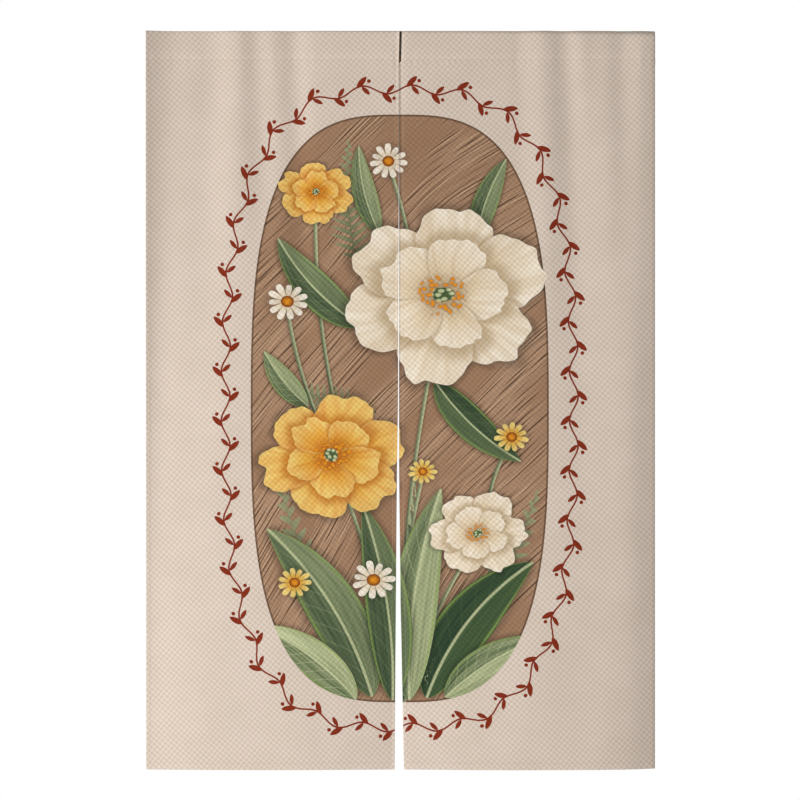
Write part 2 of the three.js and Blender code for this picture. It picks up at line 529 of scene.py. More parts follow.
BLOOMS = (
    Bloom(70, 430, 172, 0.88, -24, 0.0),
    Bloom(-112, 690, 126, 0.86, 30, 1.0),
    Bloom(-138, 262, 66, 0.82, -12, 1.0),
    Bloom(126, 816, 84, 0.84, 18, 0.0),
)
DAISIES = (
    Bloom(-20, 212, 33, 0.9, 10, 0.0),
    Bloom(-184, 440, 36, 0.88, 35, 0.0),
    Bloom(180, 660, 30, 0.9, 5, 1.0),
    Bloom(-44, 892, 38, 0.86, 20, 0.0),
    Bloom(-172, 896, 30, 0.9, 50, 1.0),
    Bloom(36, 716, 25, 0.9, 15, 1.0),
)
LEAVES = (
    Blade((42, 1084), (216, 862), -48, 45, 0.0, 0),
    Blade((-46, 1082), (-218, 808), 46, 45, 0.35, 0),
    Blade((56, 570), (196, 700), 22, 28, 0.1, 0),
    Blade((-64, 480), (-200, 336), -26, 30, 0.3, 0),
    Blade((14, 1088), (66, 742), -34, 40, 0.75, 1),
    Blade((-72, 1086), (-230, 966), 22, 31, 1.0, 1),
    Blade((-34, 330), (-68, 186), -18, 20, 0.6, 1),
    Blade((-13, 1088), (-62, 770), 30, 37, 0.2, 2),
    Blade((72, 1082), (228, 985), -20, 30, 0.9, 2),
    Blade((122, 340), (172, 208), -14, 21, 0.45, 2),
    Blade((-150, 610), (-222, 520), -12, 20, 0.7, 2),
)
FRONDS = (
    Blade((-40, 620), (-212, 560), -16, 34, 0.5),
    Blade((-30, 1060), (-200, 720), -46, 44, 0.5),
    Blade((60, 1040), (224, 742), 34, 42, 0.5),
    Blade((-66, 400), (-84, 176), -20, 36, 0.5),
)
STEMS = (
    Stem((0, 1086), (70, 450), -40),
    Stem((-6, 1086), (-112, 700), 30),
    Stem((6, 1086), (126, 826), -22),
    Stem((-100, 640), (-138, 274), -24),
    Stem((20, 380), (-20, 218), 8),
    Stem((-130, 640), (-184, 450), -14),
    Stem((140, 790), (180, 668), -18),
    Stem((-14, 1060), (-44, 900), 6),
    Stem((-60, 990), (-172, 904), 12),
    Stem((6, 890), (36, 722), -6),
)
LEAF_LAYERS = 3
FAR = 10.0


@dataclass(frozen=True)
class PrintLayout:
    """Where the print's brushed field, leafy border and flower spray lie on the cloth, in metres.

    Attributes:
        centre: Middle of the field, across and down.
        field_half: Half its width and half its height.
        border_out: Distance of the border's line outside the field.
        roundness: Fullness of the corners, where 2 is an ellipse.
        border_period: Usual repeat of the border.
        spare: Margin round a flower or leaf within which it is still measured truly.
        bloom_limit: Reach of a flower, in its radii.
        blade_limit: Reach of a leaf or frond, in its half widths.
        stem_reach: Distance from a stem past which it isn't measured.
    """

    centre: tuple[float, float] = (-1.5 * MM, 613.5 * MM)
    field_half: tuple[float, float] = (242 * MM, 477.5 * MM)
    border_out: float = 40.6 * MM
    roundness: float = 3.0
    border_period: float = 80 * MM
    spare: float = 6 * MM
    bloom_limit: float = 1.2
    blade_limit: float = 1.35
    stem_reach: float = 14 * MM

    def border_curve(self) -> np.ndarray:
        """Draw the line that the leafy border follows."""
        half = np.array(self.field_half) + self.border_out
        return rounded_oblong(np.array(self.centre), half, self.roundness)

    def border_repeat(self) -> float:
        """Work out the border's repeat, which fits its length a whole number of times."""
        length = run_length(self.border_curve())
        return length / round(length / self.border_period)

    def edges(self, points: np.ndarray) -> np.ndarray:
        """Measure points against the field's edge and the border's line.

        Args:
            points: Places across and down the curtain, a row each.

        Returns:
            Distance inside the field's edge, length along the border and distance outside its line.
        """
        outline = rounded_oblong(np.array(self.centre), np.array(self.field_half), self.roundness)
        _, inside = beside_curve(points, outline, closed=True)
        along, off_line = beside_curve(points, self.border_curve(), closed=True)
        return np.stack([inside, along, -off_line], axis=1)

    def blooms(self, points: np.ndarray, flowers: Sequence[Bloom]) -> np.ndarray:
        """Measure points in the own frame of the nearest flower.

        Args:
            points: Places across and down the curtain, a row each.
            flowers: Flowers that lie apart from each other.

        Returns:
            Place across and up in flower radii, and 1 plus the share of gold, or 0 well off every
            flower.
        """
        found = np.zeros((len(points), 3))
        nearest = np.full(len(points), np.inf)
        second = np.full(len(points), np.inf)
        for flower in flowers:
            away = points - np.array([flower.x, flower.down]) * MM
            turn = math.radians(flower.turn)
            across = away[:, 0] / (flower.radius * MM)
            up = -away[:, 1] / (flower.radius * flower.squash * MM)
            local = np.stack([across * math.cos(turn) + up * math.sin(turn),
                              up * math.cos(turn) - across * math.sin(turn)], axis=1)
            radius = np.hypot(across, up)
            spare = self.spare / (flower.radius * MM)
            off = radius > self.bloom_limit + spare
            local[off] *= (FAR / radius[off])[:, None]
            tone = np.where(radius > self.bloom_limit + 3 * spare, 0.0, 1 + flower.gold)
            closer = radius < nearest
            second = np.minimum(second, np.maximum(nearest, radius))
            nearest = np.minimum(nearest, radius)
            found[closer] = np.column_stack([local, tone])[closer]
        smallest = min(flower.radius for flower in flowers) * MM
        found[second - nearest < 2 * self.spare / smallest, 2] = 0.0
        return found

    def blades(self, points: np.ndarray, blades: Iterable[Blade]) -> np.ndarray:
        """Measure points in the own frame of the nearest leaf or frond.

        Args:
            points: Places across and down the curtain, a row each.
            blades: Leaves or fronds that lie apart from each other.

        Returns:
            Share of the way to the tip, offset in half widths, and 1 plus the tone, or 0 well off every
            blade.
        """
        found = np.zeros((len(points), 3))
        nearest = np.full(len(points), np.inf)
        for blade in blades:
            curve = bowed(np.array(blade.base) * MM, np.array(blade.tip) * MM, blade.bow * MM)
            length = run_length(curve)
            half = blade.half_width * MM
            along, offset = beside_curve(points, curve)
            beside = offset / half
            past = np.maximum(-along, along - length)
            past = np.maximum(past, np.abs(offset) - self.blade_limit * half)
            off = past > self.spare
            beside[off] = np.copysign(FAR, beside[off])
            tone = np.where(past > 3 * self.spare, 0.0, 1 + blade.tone)
            closer = past < nearest
            nearest = np.minimum(nearest, past)
            found[closer] = np.column_stack([along / length, beside, tone])[closer]
        return found

    def stems(self, points: np.ndarray, stems: Iterable[Stem]) -> np.ndarray:
        """Measure points against the nearest stem.

        Args:
            points: Places across and down the curtain, a row each.
            stems: The print's stems.

        Returns:
            Share of the way to the tip, offset to the left and plain distance.
        """
        found = np.full((len(points), 3), self.stem_reach)
        for stem in stems:
            curve = bowed(np.array(stem.base) * MM, np.array(stem.tip) * MM, stem.bow * MM)
            length = run_length(curve)
            along, offset = beside_curve(points, curve)
            past = np.maximum(0, np.maximum(-along, along - length))
            distance = np.hypot(offset, past)
            closer = distance < found[:, 2]
            found[closer] = np.stack([along / length, offset, distance], axis=1)[closer]
        return found

    def layers(self, points: np.ndarray) -> dict[str, np.ndarray]:
        """Measure points against every layer of the print.

        Args:
            points: Places across and down the curtain, a row each.

        Returns:
            The measures of each layer, a row for each point, under the layer's name.
        """
        layers = {"edges": self.edges(points), "bloom": self.blooms(points, BLOOMS)}
        layers["daisy"] = self.blooms(points, DAISIES)
        layers["frond"] = self.blades(points, FRONDS)
        layers["stem"] = self.stems(points, STEMS)
        for layer in range(LEAF_LAYERS):
            layers[f"leaf_{layer}"] = self.blades(points, (b for b in LEAVES if b.layer == layer))
        return layers


Term = "Value | float"
Setting = "Value | float | Sequence[float] | bpy.types.Material"
MIX_FIRST = 6
MIX_SECOND = 7
MIX_RESULT = 2


class Value:
    """A result in a node tree. Arithmetic on it adds Math nodes."""

    def __init__(self, sketch: "Sketch", socket: bpy.types.NodeSocket) -> None:
        """Hold a socket of a tree."""
        self.sketch = sketch
        self.socket = socket

    def __add__(self, other: Term) -> "Value":
        """Add."""
        return self.sketch.math("ADD", self, other)

    def __sub__(self, other: Term) -> "Value":
        """Subtract."""
        return self.sketch.math("SUBTRACT", self, other)

    def __rsub__(self, other: Term) -> "Value":
        """Subtract from a number."""
        return self.sketch.math("SUBTRACT", other, self)

    def __mul__(self, other: Term) -> "Value":
        """Multiply."""
        return self.sketch.math("MULTIPLY", self, other)

    def __truediv__(self, other: Term) -> "Value":
        """Divide."""
        return self.sketch.math("DIVIDE", self, other)

    def __pow__(self, other: Term) -> "Value":
        """Raise to a power."""
        return self.sketch.math("POWER", self, other)

    def __abs__(self) -> "Value":
        """Drop the sign."""
        return self.sketch.math("ABSOLUTE", self)

    __radd__ = __add__
    __rmul__ = __mul__


class Sketch:
    """A node tree that is written as formulas."""

    def __init__(self, tree: bpy.types.NodeTree) -> None:
        """Hold a tree."""
        self.tree = tree

    def feed(self, socket: bpy.types.NodeSocket, value: Setting) -> None:
        """Link a value to an input, or set it there if it is a constant.

        Args:
            socket: The input.
            value: A value of this tree, a number, a colour or a material.
        """
        if isinstance(value, Value):
            self.tree.links.new(value.socket, socket)
        else:
            socket.default_value = value

    def node(self, kind: str, *inputs: Setting, **settings: object) -> bpy.types.Node:
        """Add a node.

        Args:
            kind: The node's type.
            *inputs: What its first inputs get, in order.
            **settings: Properties of the node.

        Returns:
            The node.
        """
        node = self.tree.nodes.new(kind)
        for name, setting in settings.items():
            setattr(node, name, setting)
        for socket, value in zip(node.inputs, inputs):
            self.feed(socket, value)
        return node

    def made(self, kind: str, inputs: Mapping[str | int, Setting], **settings: object) -> Value:
        """Add a node with some of its inputs set.

        Args:
            kind: The node's type.
            inputs: What its inputs get, by name or place.
            **settings: Properties of the node.

        Returns:
            Its first result.
        """
        node = self.node(kind, **settings)
        for label, value in inputs.items():
            self.feed(node.inputs[label], value)
        return Value(self, node.outputs[0])

    def math(self, operation: str, *terms: Term) -> Value:
        """Add a Math node.

        Args:
            operation: Its operation.
            *terms: Its inputs.

        Returns:
            Its result.
        """
        return Value(self, self.node("ShaderNodeMath", *terms, operation=operation).outputs[0])

    def floor(self, value: Term) -> Value:
        """Round down."""
        return self.math("FLOOR", value)

    def part(self, value: Term) -> Value:
        """Keep what is left after rounding down."""
        return self.math("FRACT", value)

    def most(self, first: Term, second: Term) -> Value:
        """Take the larger of two values."""
        return self.math("MAXIMUM", first, second)

    def least(self, first: Term, second: Term) -> Value:
        """Take the smaller of two values."""
        return self.math("MINIMUM", first, second)

    def over(self, value: Term, limit: Term) -> Value:
        """Give 1 where a value is over a limit, and 0 elsewhere."""
        return self.math("GREATER_THAN", value, limit)

    def ramp(self, value: Term, low: float, high: float) -> Value:
        """Rise smoothly from 0 to 1 between two values.

        Args:
            value: What to read.
            low: Where the rise begins. It may lie above high, for a fall.
            high: Where the rise ends.

        Returns:
            The rise.
        """
        inputs = {"Value": value, "From Min": low, "From Max": high}
        return self.made("ShaderNodeMapRange", inputs, interpolation_type="SMOOTHSTEP")

    def blend(self, share: Term, first: "Value | Colour", second: "Value | Colour") -> Value:
        """Mix two colours.

        Args:
            share: Share of the second colour.
            first: The first colour.
            second: The second colour.

        Returns:
            The mixed colour.
        """
        node = self.node("ShaderNodeMix", data_type="RGBA")
        self.feed(node.inputs["Factor"], share)
        self.feed(node.inputs[MIX_FIRST], first)
        self.feed(node.inputs[MIX_SECOND], second)
        return Value(self, node.outputs[MIX_RESULT])

    def shade(self, colour: "Value | Colour", level: Term) -> Value:
        """Scale a colour's brightness.

        Args:
            colour: The colour.
            level: The scale.

        Returns:
            The scaled colour.
        """
        plain = colour if isinstance(colour, Value) else colour[:3]
        return self.made("ShaderNodeVectorMath", {0: plain, "Scale": level}, operation="SCALE")

    def tint(self, colour: Value, tint: Value) -> Value:
        """Multiply a colour by another."""
        return self.made("ShaderNodeVectorMath", {0: colour, 1: tint}, operation="MULTIPLY")

    def split(self, vector: Value) -> tuple[Value, Value, Value]:
        """Take a vector apart into its three numbers."""
        outputs = self.node("ShaderNodeSeparateXYZ", vector).outputs
        return Value(self, outputs[0]), Value(self, outputs[1]), Value(self, outputs[2])

    def join(self, x: Term, y: Term, z: Term = 0.0) -> Value:
        """Make a vector of three numbers."""
        return Value(self, self.node("ShaderNodeCombineXYZ", x, y, z).outputs[0])

    def noise(self, vector: Value, scale: float, detail: float = 1.0) -> Value:
        """Read smooth noise.

        Args:
            vector: Where to read it.
            scale: Its scale.
            detail: How many finer steps it has.

        Returns:
            Values from 0 to 1, mostly near the middle.
        """
        return self.made("ShaderNodeTexNoise", {"Vector": vector, "Scale": scale, "Detail": detail})

    def chance(self, number: Term) -> Value:
        """Draw a fixed random share, from 0 to 1, for a number."""
        return self.made("ShaderNodeTexWhiteNoise", {"W": number}, noise_dimensions="1D")

    def bump(self, height: Value, distance: float) -> Value:
        """Turn a height into a normal.

        Args:
            height: Height from 0 to 1.
            distance: What a height of 1 stands for, in metres.

        Returns:
            The normal.
        """
        return self.made("ShaderNodeBump", {"Strength": 1.0, "Distance": distance, "Height": height})

    def object_place(self) -> Value:
        """Read a point's place in its object's own frame."""
        return Value(self, self.node("ShaderNodeTexCoord").outputs["Object"])

    def attribute(self, name: str) -> Value:
        """Read a vector that the mesh holds."""
        return Value(self, self.node("ShaderNodeAttribute", attribute_name=name).outputs["Vector"])

    def place(self, group: bpy.types.NodeTree, **inputs: "Value | float | Colour") -> dict[str, Value]:
        """Place a node group.

        Args:
            group: The group.
            **inputs: What its inputs get, by name with underscores for spaces.

        Returns:
            Its results by name.
        """
        node = self.node("ShaderNodeGroup", node_tree=group)
        for name, value in inputs.items():
            self.feed(node.inputs[name.replace("_", " ")], value)
        return {output.name: Value(self, output) for output in node.outputs}


class Kind(Enum):
    """What a socket of a node group carries."""

    GEOMETRY = "NodeSocketGeometry"
    NUMBER = "NodeSocketFloat"
    VECTOR = "NodeSocketVector"
    COLOUR = "NodeSocketColor"


PAINTED = {"Colour": Kind.COLOUR, "Mask": Kind.NUMBER, "Shadow": Kind.NUMBER}


class GroupSketch(Sketch):
    """A node group with named inputs and outputs, written as formulas."""

    tree_type = "ShaderNodeTree"

    def __init__(self, name: str, inputs: Mapping[str, Kind], outputs: Mapping[str, Kind]) -> None:
        """Make an empty group.

        Args:
            name: Its name.
            inputs: What its inputs carry, by name.
            outputs: What its outputs carry, by name.
        """
        super().__init__(bpy.data.node_groups.new(name, self.tree_type))
        for label, kind in inputs.items():
            self.tree.interface.new_socket(label, in_out="INPUT", socket_type=kind.value)
        for label, kind in outputs.items():
            self.tree.interface.new_socket(label, in_out="OUTPUT", socket_type=kind.value)
        self.entry = self.tree.nodes.new("NodeGroupInput")
        self.exit = self.tree.nodes.new("NodeGroupOutput")

    def given(self, label: str) -> Value:
        """Read one of the group's inputs."""
        return Value(self, self.entry.outputs[label])

    def give(self, **results: Value) -> bpy.types.NodeTree:
        """Set the group's outputs.

        Args:
            **results: Values by output name.

        Returns:
            The finished group.
        """
        for label, value in results.items():
            self.feed(self.exit.inputs[label], value)
        return self.tree


class GeometrySketch(GroupSketch):
    """A Geometry Nodes tree with named inputs and outputs."""

    tree_type = "GeometryNodeTree"


class MaterialSketch(Sketch):
    """A material that is written as formulas."""

    def __init__(self, name: str) -> None:
        """Make a plain material.

        Args:
            name: Its name.
        """
        self.material = bpy.data.materials.new(name)
        self.material.use_nodes = True
        super().__init__(self.material.node_tree)

    def finish(self, **inputs: Setting) -> bpy.types.Material:
        """Set the shader's inputs.

        Args:
            **inputs: What they get, by name with underscores for spaces.

        Returns:
            The finished material.
        """
        shader = self.tree.nodes["Principled BSDF"]
        for label, value in inputs.items():
            self.feed(shader.inputs[label.replace("_", " ")], value)
        return self.material


@dataclass(frozen=True)
class Inks:
    """The colours of the cloth and of its print, and the painted shade inside the sleeve."""

    beige: Colour = ink(220, 204, 190)
    beige_low: Colour = ink(216, 200, 185)
    brown: Colour = ink(172, 138, 111)
    brown_dark: Colour = ink(155, 120, 93)
    brown_light: Colour = ink(208, 173, 138)
    brown_line: Colour = ink(80, 56, 40)
    # Painted shade: dark brown laid inside the sleeve behind the slot, standing for the shade that falls
    # there.
    sleeve_painted_shade: Colour = ink(74, 54, 42)
    russet: Colour = ink(132, 46, 24)
    cream: Colour = ink(234, 216, 187)
    cream_tip: Colour = ink(246, 236, 219)
    cream_base: Colour = ink(200, 169, 123)
    gold: Colour = ink(230, 173, 68)
    gold_tip: Colour = ink(241, 213, 128)
    gold_base: Colour = ink(209, 112, 26)
    green_dark: Colour = ink(38, 60, 43)
    green_mid: Colour = ink(74, 95, 60)
    green_pale: Colour = ink(196, 202, 156)
    green_edge: Colour = ink(140, 164, 84)
    stamen: Colour = ink(222, 142, 34)
    stamen_dark: Colour = ink(128, 62, 20)


class PaintBox:
    """The node groups that paint the cloth, each made once."""

    def __init__(self, inks: Inks, layout: PrintLayout) -> None:
        """Make the groups.

        Args:
            inks: The print's colours.
            layout: Where the print lies.
        """
        self.inks = inks
        self.layout = layout
        self.weave = self._weave()
        self.brushed = self._brushed()
        self.border = self._border()
        self.leaf = self._leaf()
        self.frond = self._frond()
        self.ring = self._ring()
        self.bloom = self._bloom()
        self.daisy = self._daisy()
        self.print = self._print()

    def _weave(self) -> bpy.types.NodeTree:
        """Make a basket weave: squares of four yarns that lie crosswise in turn.

        Returns:
            The group.
        """
        inputs = {"Cloth": Kind.VECTOR, "Square": Kind.NUMBER}
        g = GroupSketch("Basket weave", inputs, {"Tone": Kind.NUMBER, "Height": Kind.NUMBER})
        x, y, _ = g.split(g.given("Cloth"))
        slant = math.radians(4.95)
        across = (x * math.cos(slant) - y * math.sin(slant)) / g.given("Square") + 40.0
        down = (x * math.sin(slant) + y * math.cos(slant)) / g.given("Square")
        weft = g.math("MODULO", g.floor(across) + g.floor(down), 2.0)
        yarns = 4.0

        def strand(along: Value, over: Value) -> Value:
            """Shape the yarns that run along one way and crown over the other.

            Args:
                along: Place along the yarns, in squares.
                over: Place across them, in squares.

            Returns:
                Their height, from 0 to 1.
            """
            side = g.part(over * yarns) * 2.0 - 1.0
            crown = g.math("SINE", g.part(along) * math.pi)
            return (1.0 - side * side * 0.6) * (crown * 0.45 + 0.55)

        warp_height = strand(down, across)
        weft_height = strand(across, down)
        height = warp_height + (weft_height - warp_height) * weft
        return g.give(Tone=weft, Height=height)

    def _brushed(self) -> bpy.types.NodeTree:
        """Make a brown ground brushed in slanting, slightly curved strokes.

        Returns:
            The group.
        """
        inks = self.inks
        g = GroupSketch("Brushed ground", {"Place": Kind.VECTOR}, {"Colour": Kind.COLOUR})
        place = g.given("Place")
        x, _, z = g.split(place)
        slant = math.radians(37)
        along = x * math.cos(slant) + z * math.sin(slant)
        bend = (g.noise(place, 3.4, 0.0) - 0.5) * 0.07 + along * along * 0.3
        across = z * math.cos(slant) - x * math.sin(slant) + bend
        patch = g.noise(g.join(along * 5.0, across * 15.0), 1.0, 1.0)
        scored = g.ramp(patch, 0.30, 0.52)
        here = g.noise(g.join(along * 8.0, across * 210.0), 1.0, 1.0)
        beside = g.noise(g.join(along * 8.0, (across - 1.2 * MM) * 210.0), 1.0, 1.0)
        step = (here - beside) * scored
        colour = g.blend(g.ramp(patch, 0.3, 0.7), inks.brown_dark, inks.brown)
        colour = g.blend(g.ramp(step, -0.04, -0.18) * 0.65, colour, inks.brown_light)
        colour = g.blend(g.ramp(step, 0.03, 0.14) * 0.92, colour, inks.brown_line)
        return g.give(Colour=colour)

    def _border(self) -> bpy.types.NodeTree:
        """Make a running vine with a slim leaf and a berry at each bend.

        Returns:
            The group.
        """
        inputs = {"Along": Kind.NUMBER, "Out": Kind.NUMBER, "Repeat": Kind.NUMBER}
        g = GroupSketch("Leafy border", inputs, {"Mask": Kind.NUMBER})
        repeat = g.given("Repeat")
        out = g.given("Out")
        turns = g.given("Along") / repeat
        wave = g.math("SINE", turns * TAU) * (7.0 * MM)
        vine = g.over(1.5 * MM, abs(out - wave))
        bends = turns * 2.0
        step = g.floor(bends)
        side = 1.0 - 2.0 * g.math("MODULO", step, 2.0)
        near = (bends - step - 0.5) * repeat * 0.5
        high = out * side
        lean = math.radians(47)

        def leaf(start: float, foot: float, length: float, half: float, lift: float) -> Value:
            """Mark a slim pointed leaf that leaves the vine at a slant.

            Args:
                start: Where it begins along the vine.
                foot: Where it begins off the vine's line.
                length: Its length.
                half: Half its width.
                lift: 1 where it leans outwards, and -1 where it leans back.

            Returns:
                1 on the leaf, and 0 elsewhere.
            """
            run = near - start
            rise = high - foot
            ahead = (run * math.cos(lean) + rise * (math.sin(lean) * lift)) / length
            beside = rise * (math.cos(lean) * lift) - run * math.sin(lean)
            body = g.most(ahead * (1.0 - ahead) * 4.0, 0.0) ** 0.75
            return g.over(body * half, abs(beside))

        upper = leaf(-9.0 * MM, 4.2 * MM, 24 * MM, 4.4 * MM, 1.0)
        lower = leaf(-1.0 * MM, 5.6 * MM, 18 * MM, 3.4 * MM, -1.0)
        berry_run = near - 11.0 * MM
        berry_rise = high - 14.4 * MM
        berry = g.over(3.0 * MM, g.math("SQRT", berry_run * berry_run + berry_rise * berry_rise))
        return g.give(Mask=g.most(g.most(vine, berry), g.most(upper, lower)))

    def _leaf(self) -> bpy.types.NodeTree:
        """Make a painted leaf with a pale rib, slanting veins and a lighter half.

        Returns:
            The group.
        """
        inks = self.inks
        g = GroupSketch("Painted leaf", {"Blade": Kind.VECTOR}, PAINTED)
        ahead, beside, tone = g.split(g.given("Blade"))
        shape = g.least(g.most(ahead, 0.0001), 0.9999) ** 0.82
        body = (shape * (1.0 - shape) * 4.0) ** 0.85
        on = g.over(tone, 0.99)
        inside = body - abs(beside)
        mask = g.ramp(inside, 0.0, 0.035) * on
        half = beside / g.most(body, 0.05)
        pale = tone - 1.0
        base = g.blend(pale, inks.green_dark, inks.green_mid)
        tip = g.blend(pale, inks.green_mid, inks.green_pale)
        streak = g.noise(g.join(half * 8.0 + tone * 31.0, ahead * 2.0), 1.0, 1.0)
        vein = abs(g.part(ahead * 9.0 - abs(half) * 1.5) - 0.5) * 2.0
        light = g.ramp(half, -0.12, 0.12) * 0.45 + g.ramp(streak, 0.3, 0.7) * 0.35 + ahead * 0.2
        colour = g.blend(light, base, tip)
        colour = g.blend(g.ramp(vein, 0.82, 1.0) * 0.35, colour, tip)
        colour = g.blend(g.ramp(abs(beside), 0.075, 0.02) * 0.75, colour, inks.green_pale)
        rim = g.ramp(abs(half), 0.80, 0.90) * g.ramp(abs(half), 0.97, 0.92)
        colour = g.blend(rim * 0.55, colour, inks.green_edge)
        colour = g.shade(colour, g.ramp(abs(half), 1.0, 0.94) * 0.4 + 0.62)
        length_on = g.ramp(ahead, -0.02, 0.02) * g.ramp(ahead, 1.02, 0.98)
        shadow = g.ramp(inside, -0.34, 0.05) * on * length_on
        return g.give(Colour=colour, Mask=mask, Shadow=shadow)

    def _frond(self) -> bpy.types.NodeTree:
        """Make a feathery frond: slim leaflets that slant forward from a thin rib.

        Returns:
            The group.
        """
        inks = self.inks
        outputs = {"Colour": Kind.COLOUR, "Mask": Kind.NUMBER}
        g = GroupSketch("Frond", {"Blade": Kind.VECTOR}, outputs)
        ahead, beside, tone = g.split(g.given("Blade"))
        side = g.over(beside, 0.0)
        reach = g.most((1.0 - ahead) * 1.25, 0.0) ** 0.7 * g.ramp(ahead, 0.02, 0.34)
        reach = g.least(reach, 1.0)
        out = abs(beside)
        count = 17.0
        slant = ahead * count - out * 1.35 + side * 0.5
        place = abs(g.part(slant) - 0.5)
        slim = g.most(1.0 - out / g.most(reach, 0.02), 0.0) ** 0.55
        leaflet = g.over(slim * 0.36, place)
        rib = g.over(0.035, out) * g.over(1.0, ahead)
        mask = g.most(leaflet, rib) * g.over(tone, 0.99) * g.over(ahead, 0.0) * g.over(0.995, ahead)
        colour = g.blend(ahead * 0.6 + out * 0.4, inks.green_mid, inks.green_pale)
        colour = g.shade(colour, 0.86 - place * 0.5)
        return g.give(Colour=colour, Mask=mask)

    def _ring(self) -> bpy.types.NodeTree:
        """Make one ring of broad petals, each lying over the next one round.

        Returns:
            The group.
        """
        numbers = ("Radius", "Angle", "Petals", "Turn", "Reach", "Spread", "Seed")
        inputs = {label: Kind.NUMBER for label in numbers}
        inputs |= {label: Kind.COLOUR for label in ("Base", "Body", "Tip")}
        g = GroupSketch("Petal ring", inputs, {"Colour": Kind.COLOUR, "Inside": Kind.NUMBER})
        radius = g.given("Radius")
        petals = g.given("Petals")
        steps = (g.given("Angle") + g.given("Turn") + 2.0) * petals
        first = g.floor(steps)

        def petal(index: Value) -> tuple[Value, Value]:
            """Paint one petal and measure how far inside it each place lies.

            Args:
                index: The petal's place in the ring.

            Returns:
                Its paint, and the distance inside its edge.
            """
            off = steps - index
            luck = g.chance(g.math("MODULO", index, petals) + g.given("Seed"))
            width = abs(off) / g.given("Spread")
            round_off = g.most(1.0 - width**2.6, 0.0) ** 0.55
            frill = g.math("SINE", off * 17.0 + luck * TAU) * 0.014
            frill = frill + g.math("SINE", off * 41.0 + luck * 9.0) * 0.006
            dip = g.ramp(abs(off), 0.17, 0.0) * (luck * 0.05 + 0.015)
            edge = g.given("Reach") * (luck * 0.12 + 0.88) * round_off + frill - dip
            inside = edge - radius
            ahead = radius / g.most(edge, 0.05)
            streak = g.noise(g.join(off * 11.0 + luck * 40.0, radius * 1.5, luck * 9.0), 1.0, 1.0)
            paint = g.blend(g.ramp(ahead, 0.02, 0.62), g.given("Base"), g.given("Body"))
            paint = g.blend(g.ramp(ahead, 0.45, 1.0) * 0.8, paint, g.given("Tip"))
            crease = g.ramp(abs(off + (luck - 0.5) * 0.12), 0.05, 0.0) * g.ramp(ahead, 1.0, 0.5)
            dusk = g.ramp(streak, 0.75, 0.25) * 0.34 + crease * 0.2 + g.ramp(off, 0.02, 0.55) * 0.24
            paint = g.blend(dusk, paint, g.given("Base"))
            return g.blend(g.ramp(inside, 0.022, 0.004) * 0.7, paint, g.given("Tip")), inside

        upper, upper_inside = petal(first)
        lower, lower_inside = petal(first + 1.0)
        shadow = g.ramp(upper_inside, -0.17, 0.0)
        lower = g.shade(g.blend(shadow * 0.5, lower, g.given("Base")), 1.0 - shadow * 0.16)
        paint = g.blend(g.ramp(upper_inside, 0.0, 0.01), lower, upper)
        return g.give(Colour=paint, Inside=g.most(upper_inside, lower_inside))

    def _bloom(self) -> bpy.types.NodeTree:
        """Make a large open flower: two rings of petals round a tuft of stamens.

        Returns:
            The group.
        """
        inks = self.inks
        g = GroupSketch("Painted bloom", {"Bloom": Kind.VECTOR}, PAINTED)
        bloom = g.given("Bloom")
        x, y, tone = g.split(bloom)
        on = g.over(tone, 0.99)
        gold = tone - 1.0
        wobble_x = (g.noise(bloom, 2.3, 1.0) - 0.5) * 0.2
        wobble_y = (g.noise(g.join(y, x, tone + 3.0), 2.3, 1.0) - 0.5) * 0.2
        x = x + wobble_x
        y = y + wobble_y
        radius = g.math("SQRT", x * x + y * y)
        angle = g.math("ARCTAN2", y, x) / TAU
        base = g.blend(gold, inks.cream_base, inks.gold_base)
        body = g.blend(gold, inks.cream, inks.gold)
        tip = g.blend(gold, inks.cream_tip, inks.gold_tip)
        polar = {"Radius": radius, "Angle": angle, "Base": base, "Body": body, "Tip": tip}
        seed = tone * 5.0
        outer = g.place(self.ring, **polar, Petals=6.0, Turn=0.04, Reach=1.0, Spread=0.72, Seed=seed)
        seed = tone * 9.0 + 50.0
        inner = g.place(self.ring, **polar, Petals=5.0, Turn=0.13, Reach=0.66, Spread=0.70, Seed=seed)
        inner_mask = g.ramp(inner["Inside"], 0.0, 0.01)
        under = g.ramp(inner["Inside"], -0.18, 0.0)
        shaded = g.shade(g.blend(under * 0.5, outer["Colour"], base), 1.0 - under * 0.2)
        colour = g.blend(inner_mask, shaded, inner["Colour"])
        colour = g.shade(colour, 1.0 - g.ramp(radius, 0.36, 0.06) * 0.24)
        spots = {"Vector": g.join(x, y), "Scale": 15.0}
        spot = g.made("ShaderNodeTexVoronoi", spots, voronoi_dimensions="2D")
        ring = g.ramp(radius, 0.05, 0.12) * g.ramp(radius, 0.27, 0.20)
        anther = g.ramp(spot, 0.34, 0.26) * g.over(ring, 0.5)
        colour = g.blend(g.ramp(spot, 0.62, 0.3) * ring * 0.45, colour, inks.stamen_dark)
        colour = g.blend(anther, colour, inks.stamen)
        heart = g.ramp(radius, 0.105, 0.085)
        heart_paint = g.blend(g.ramp(spot, 0.2, 0.5), inks.green_pale, inks.green_mid)
        colour = g.blend(heart, colour, heart_paint)
        inside = g.most(outer["Inside"], inner["Inside"])
        shadow = g.ramp(inside, -0.13, 0.02) * on
        return g.give(Colour=colour, Mask=g.ramp(inside, 0.0, 0.012) * on, Shadow=shadow)

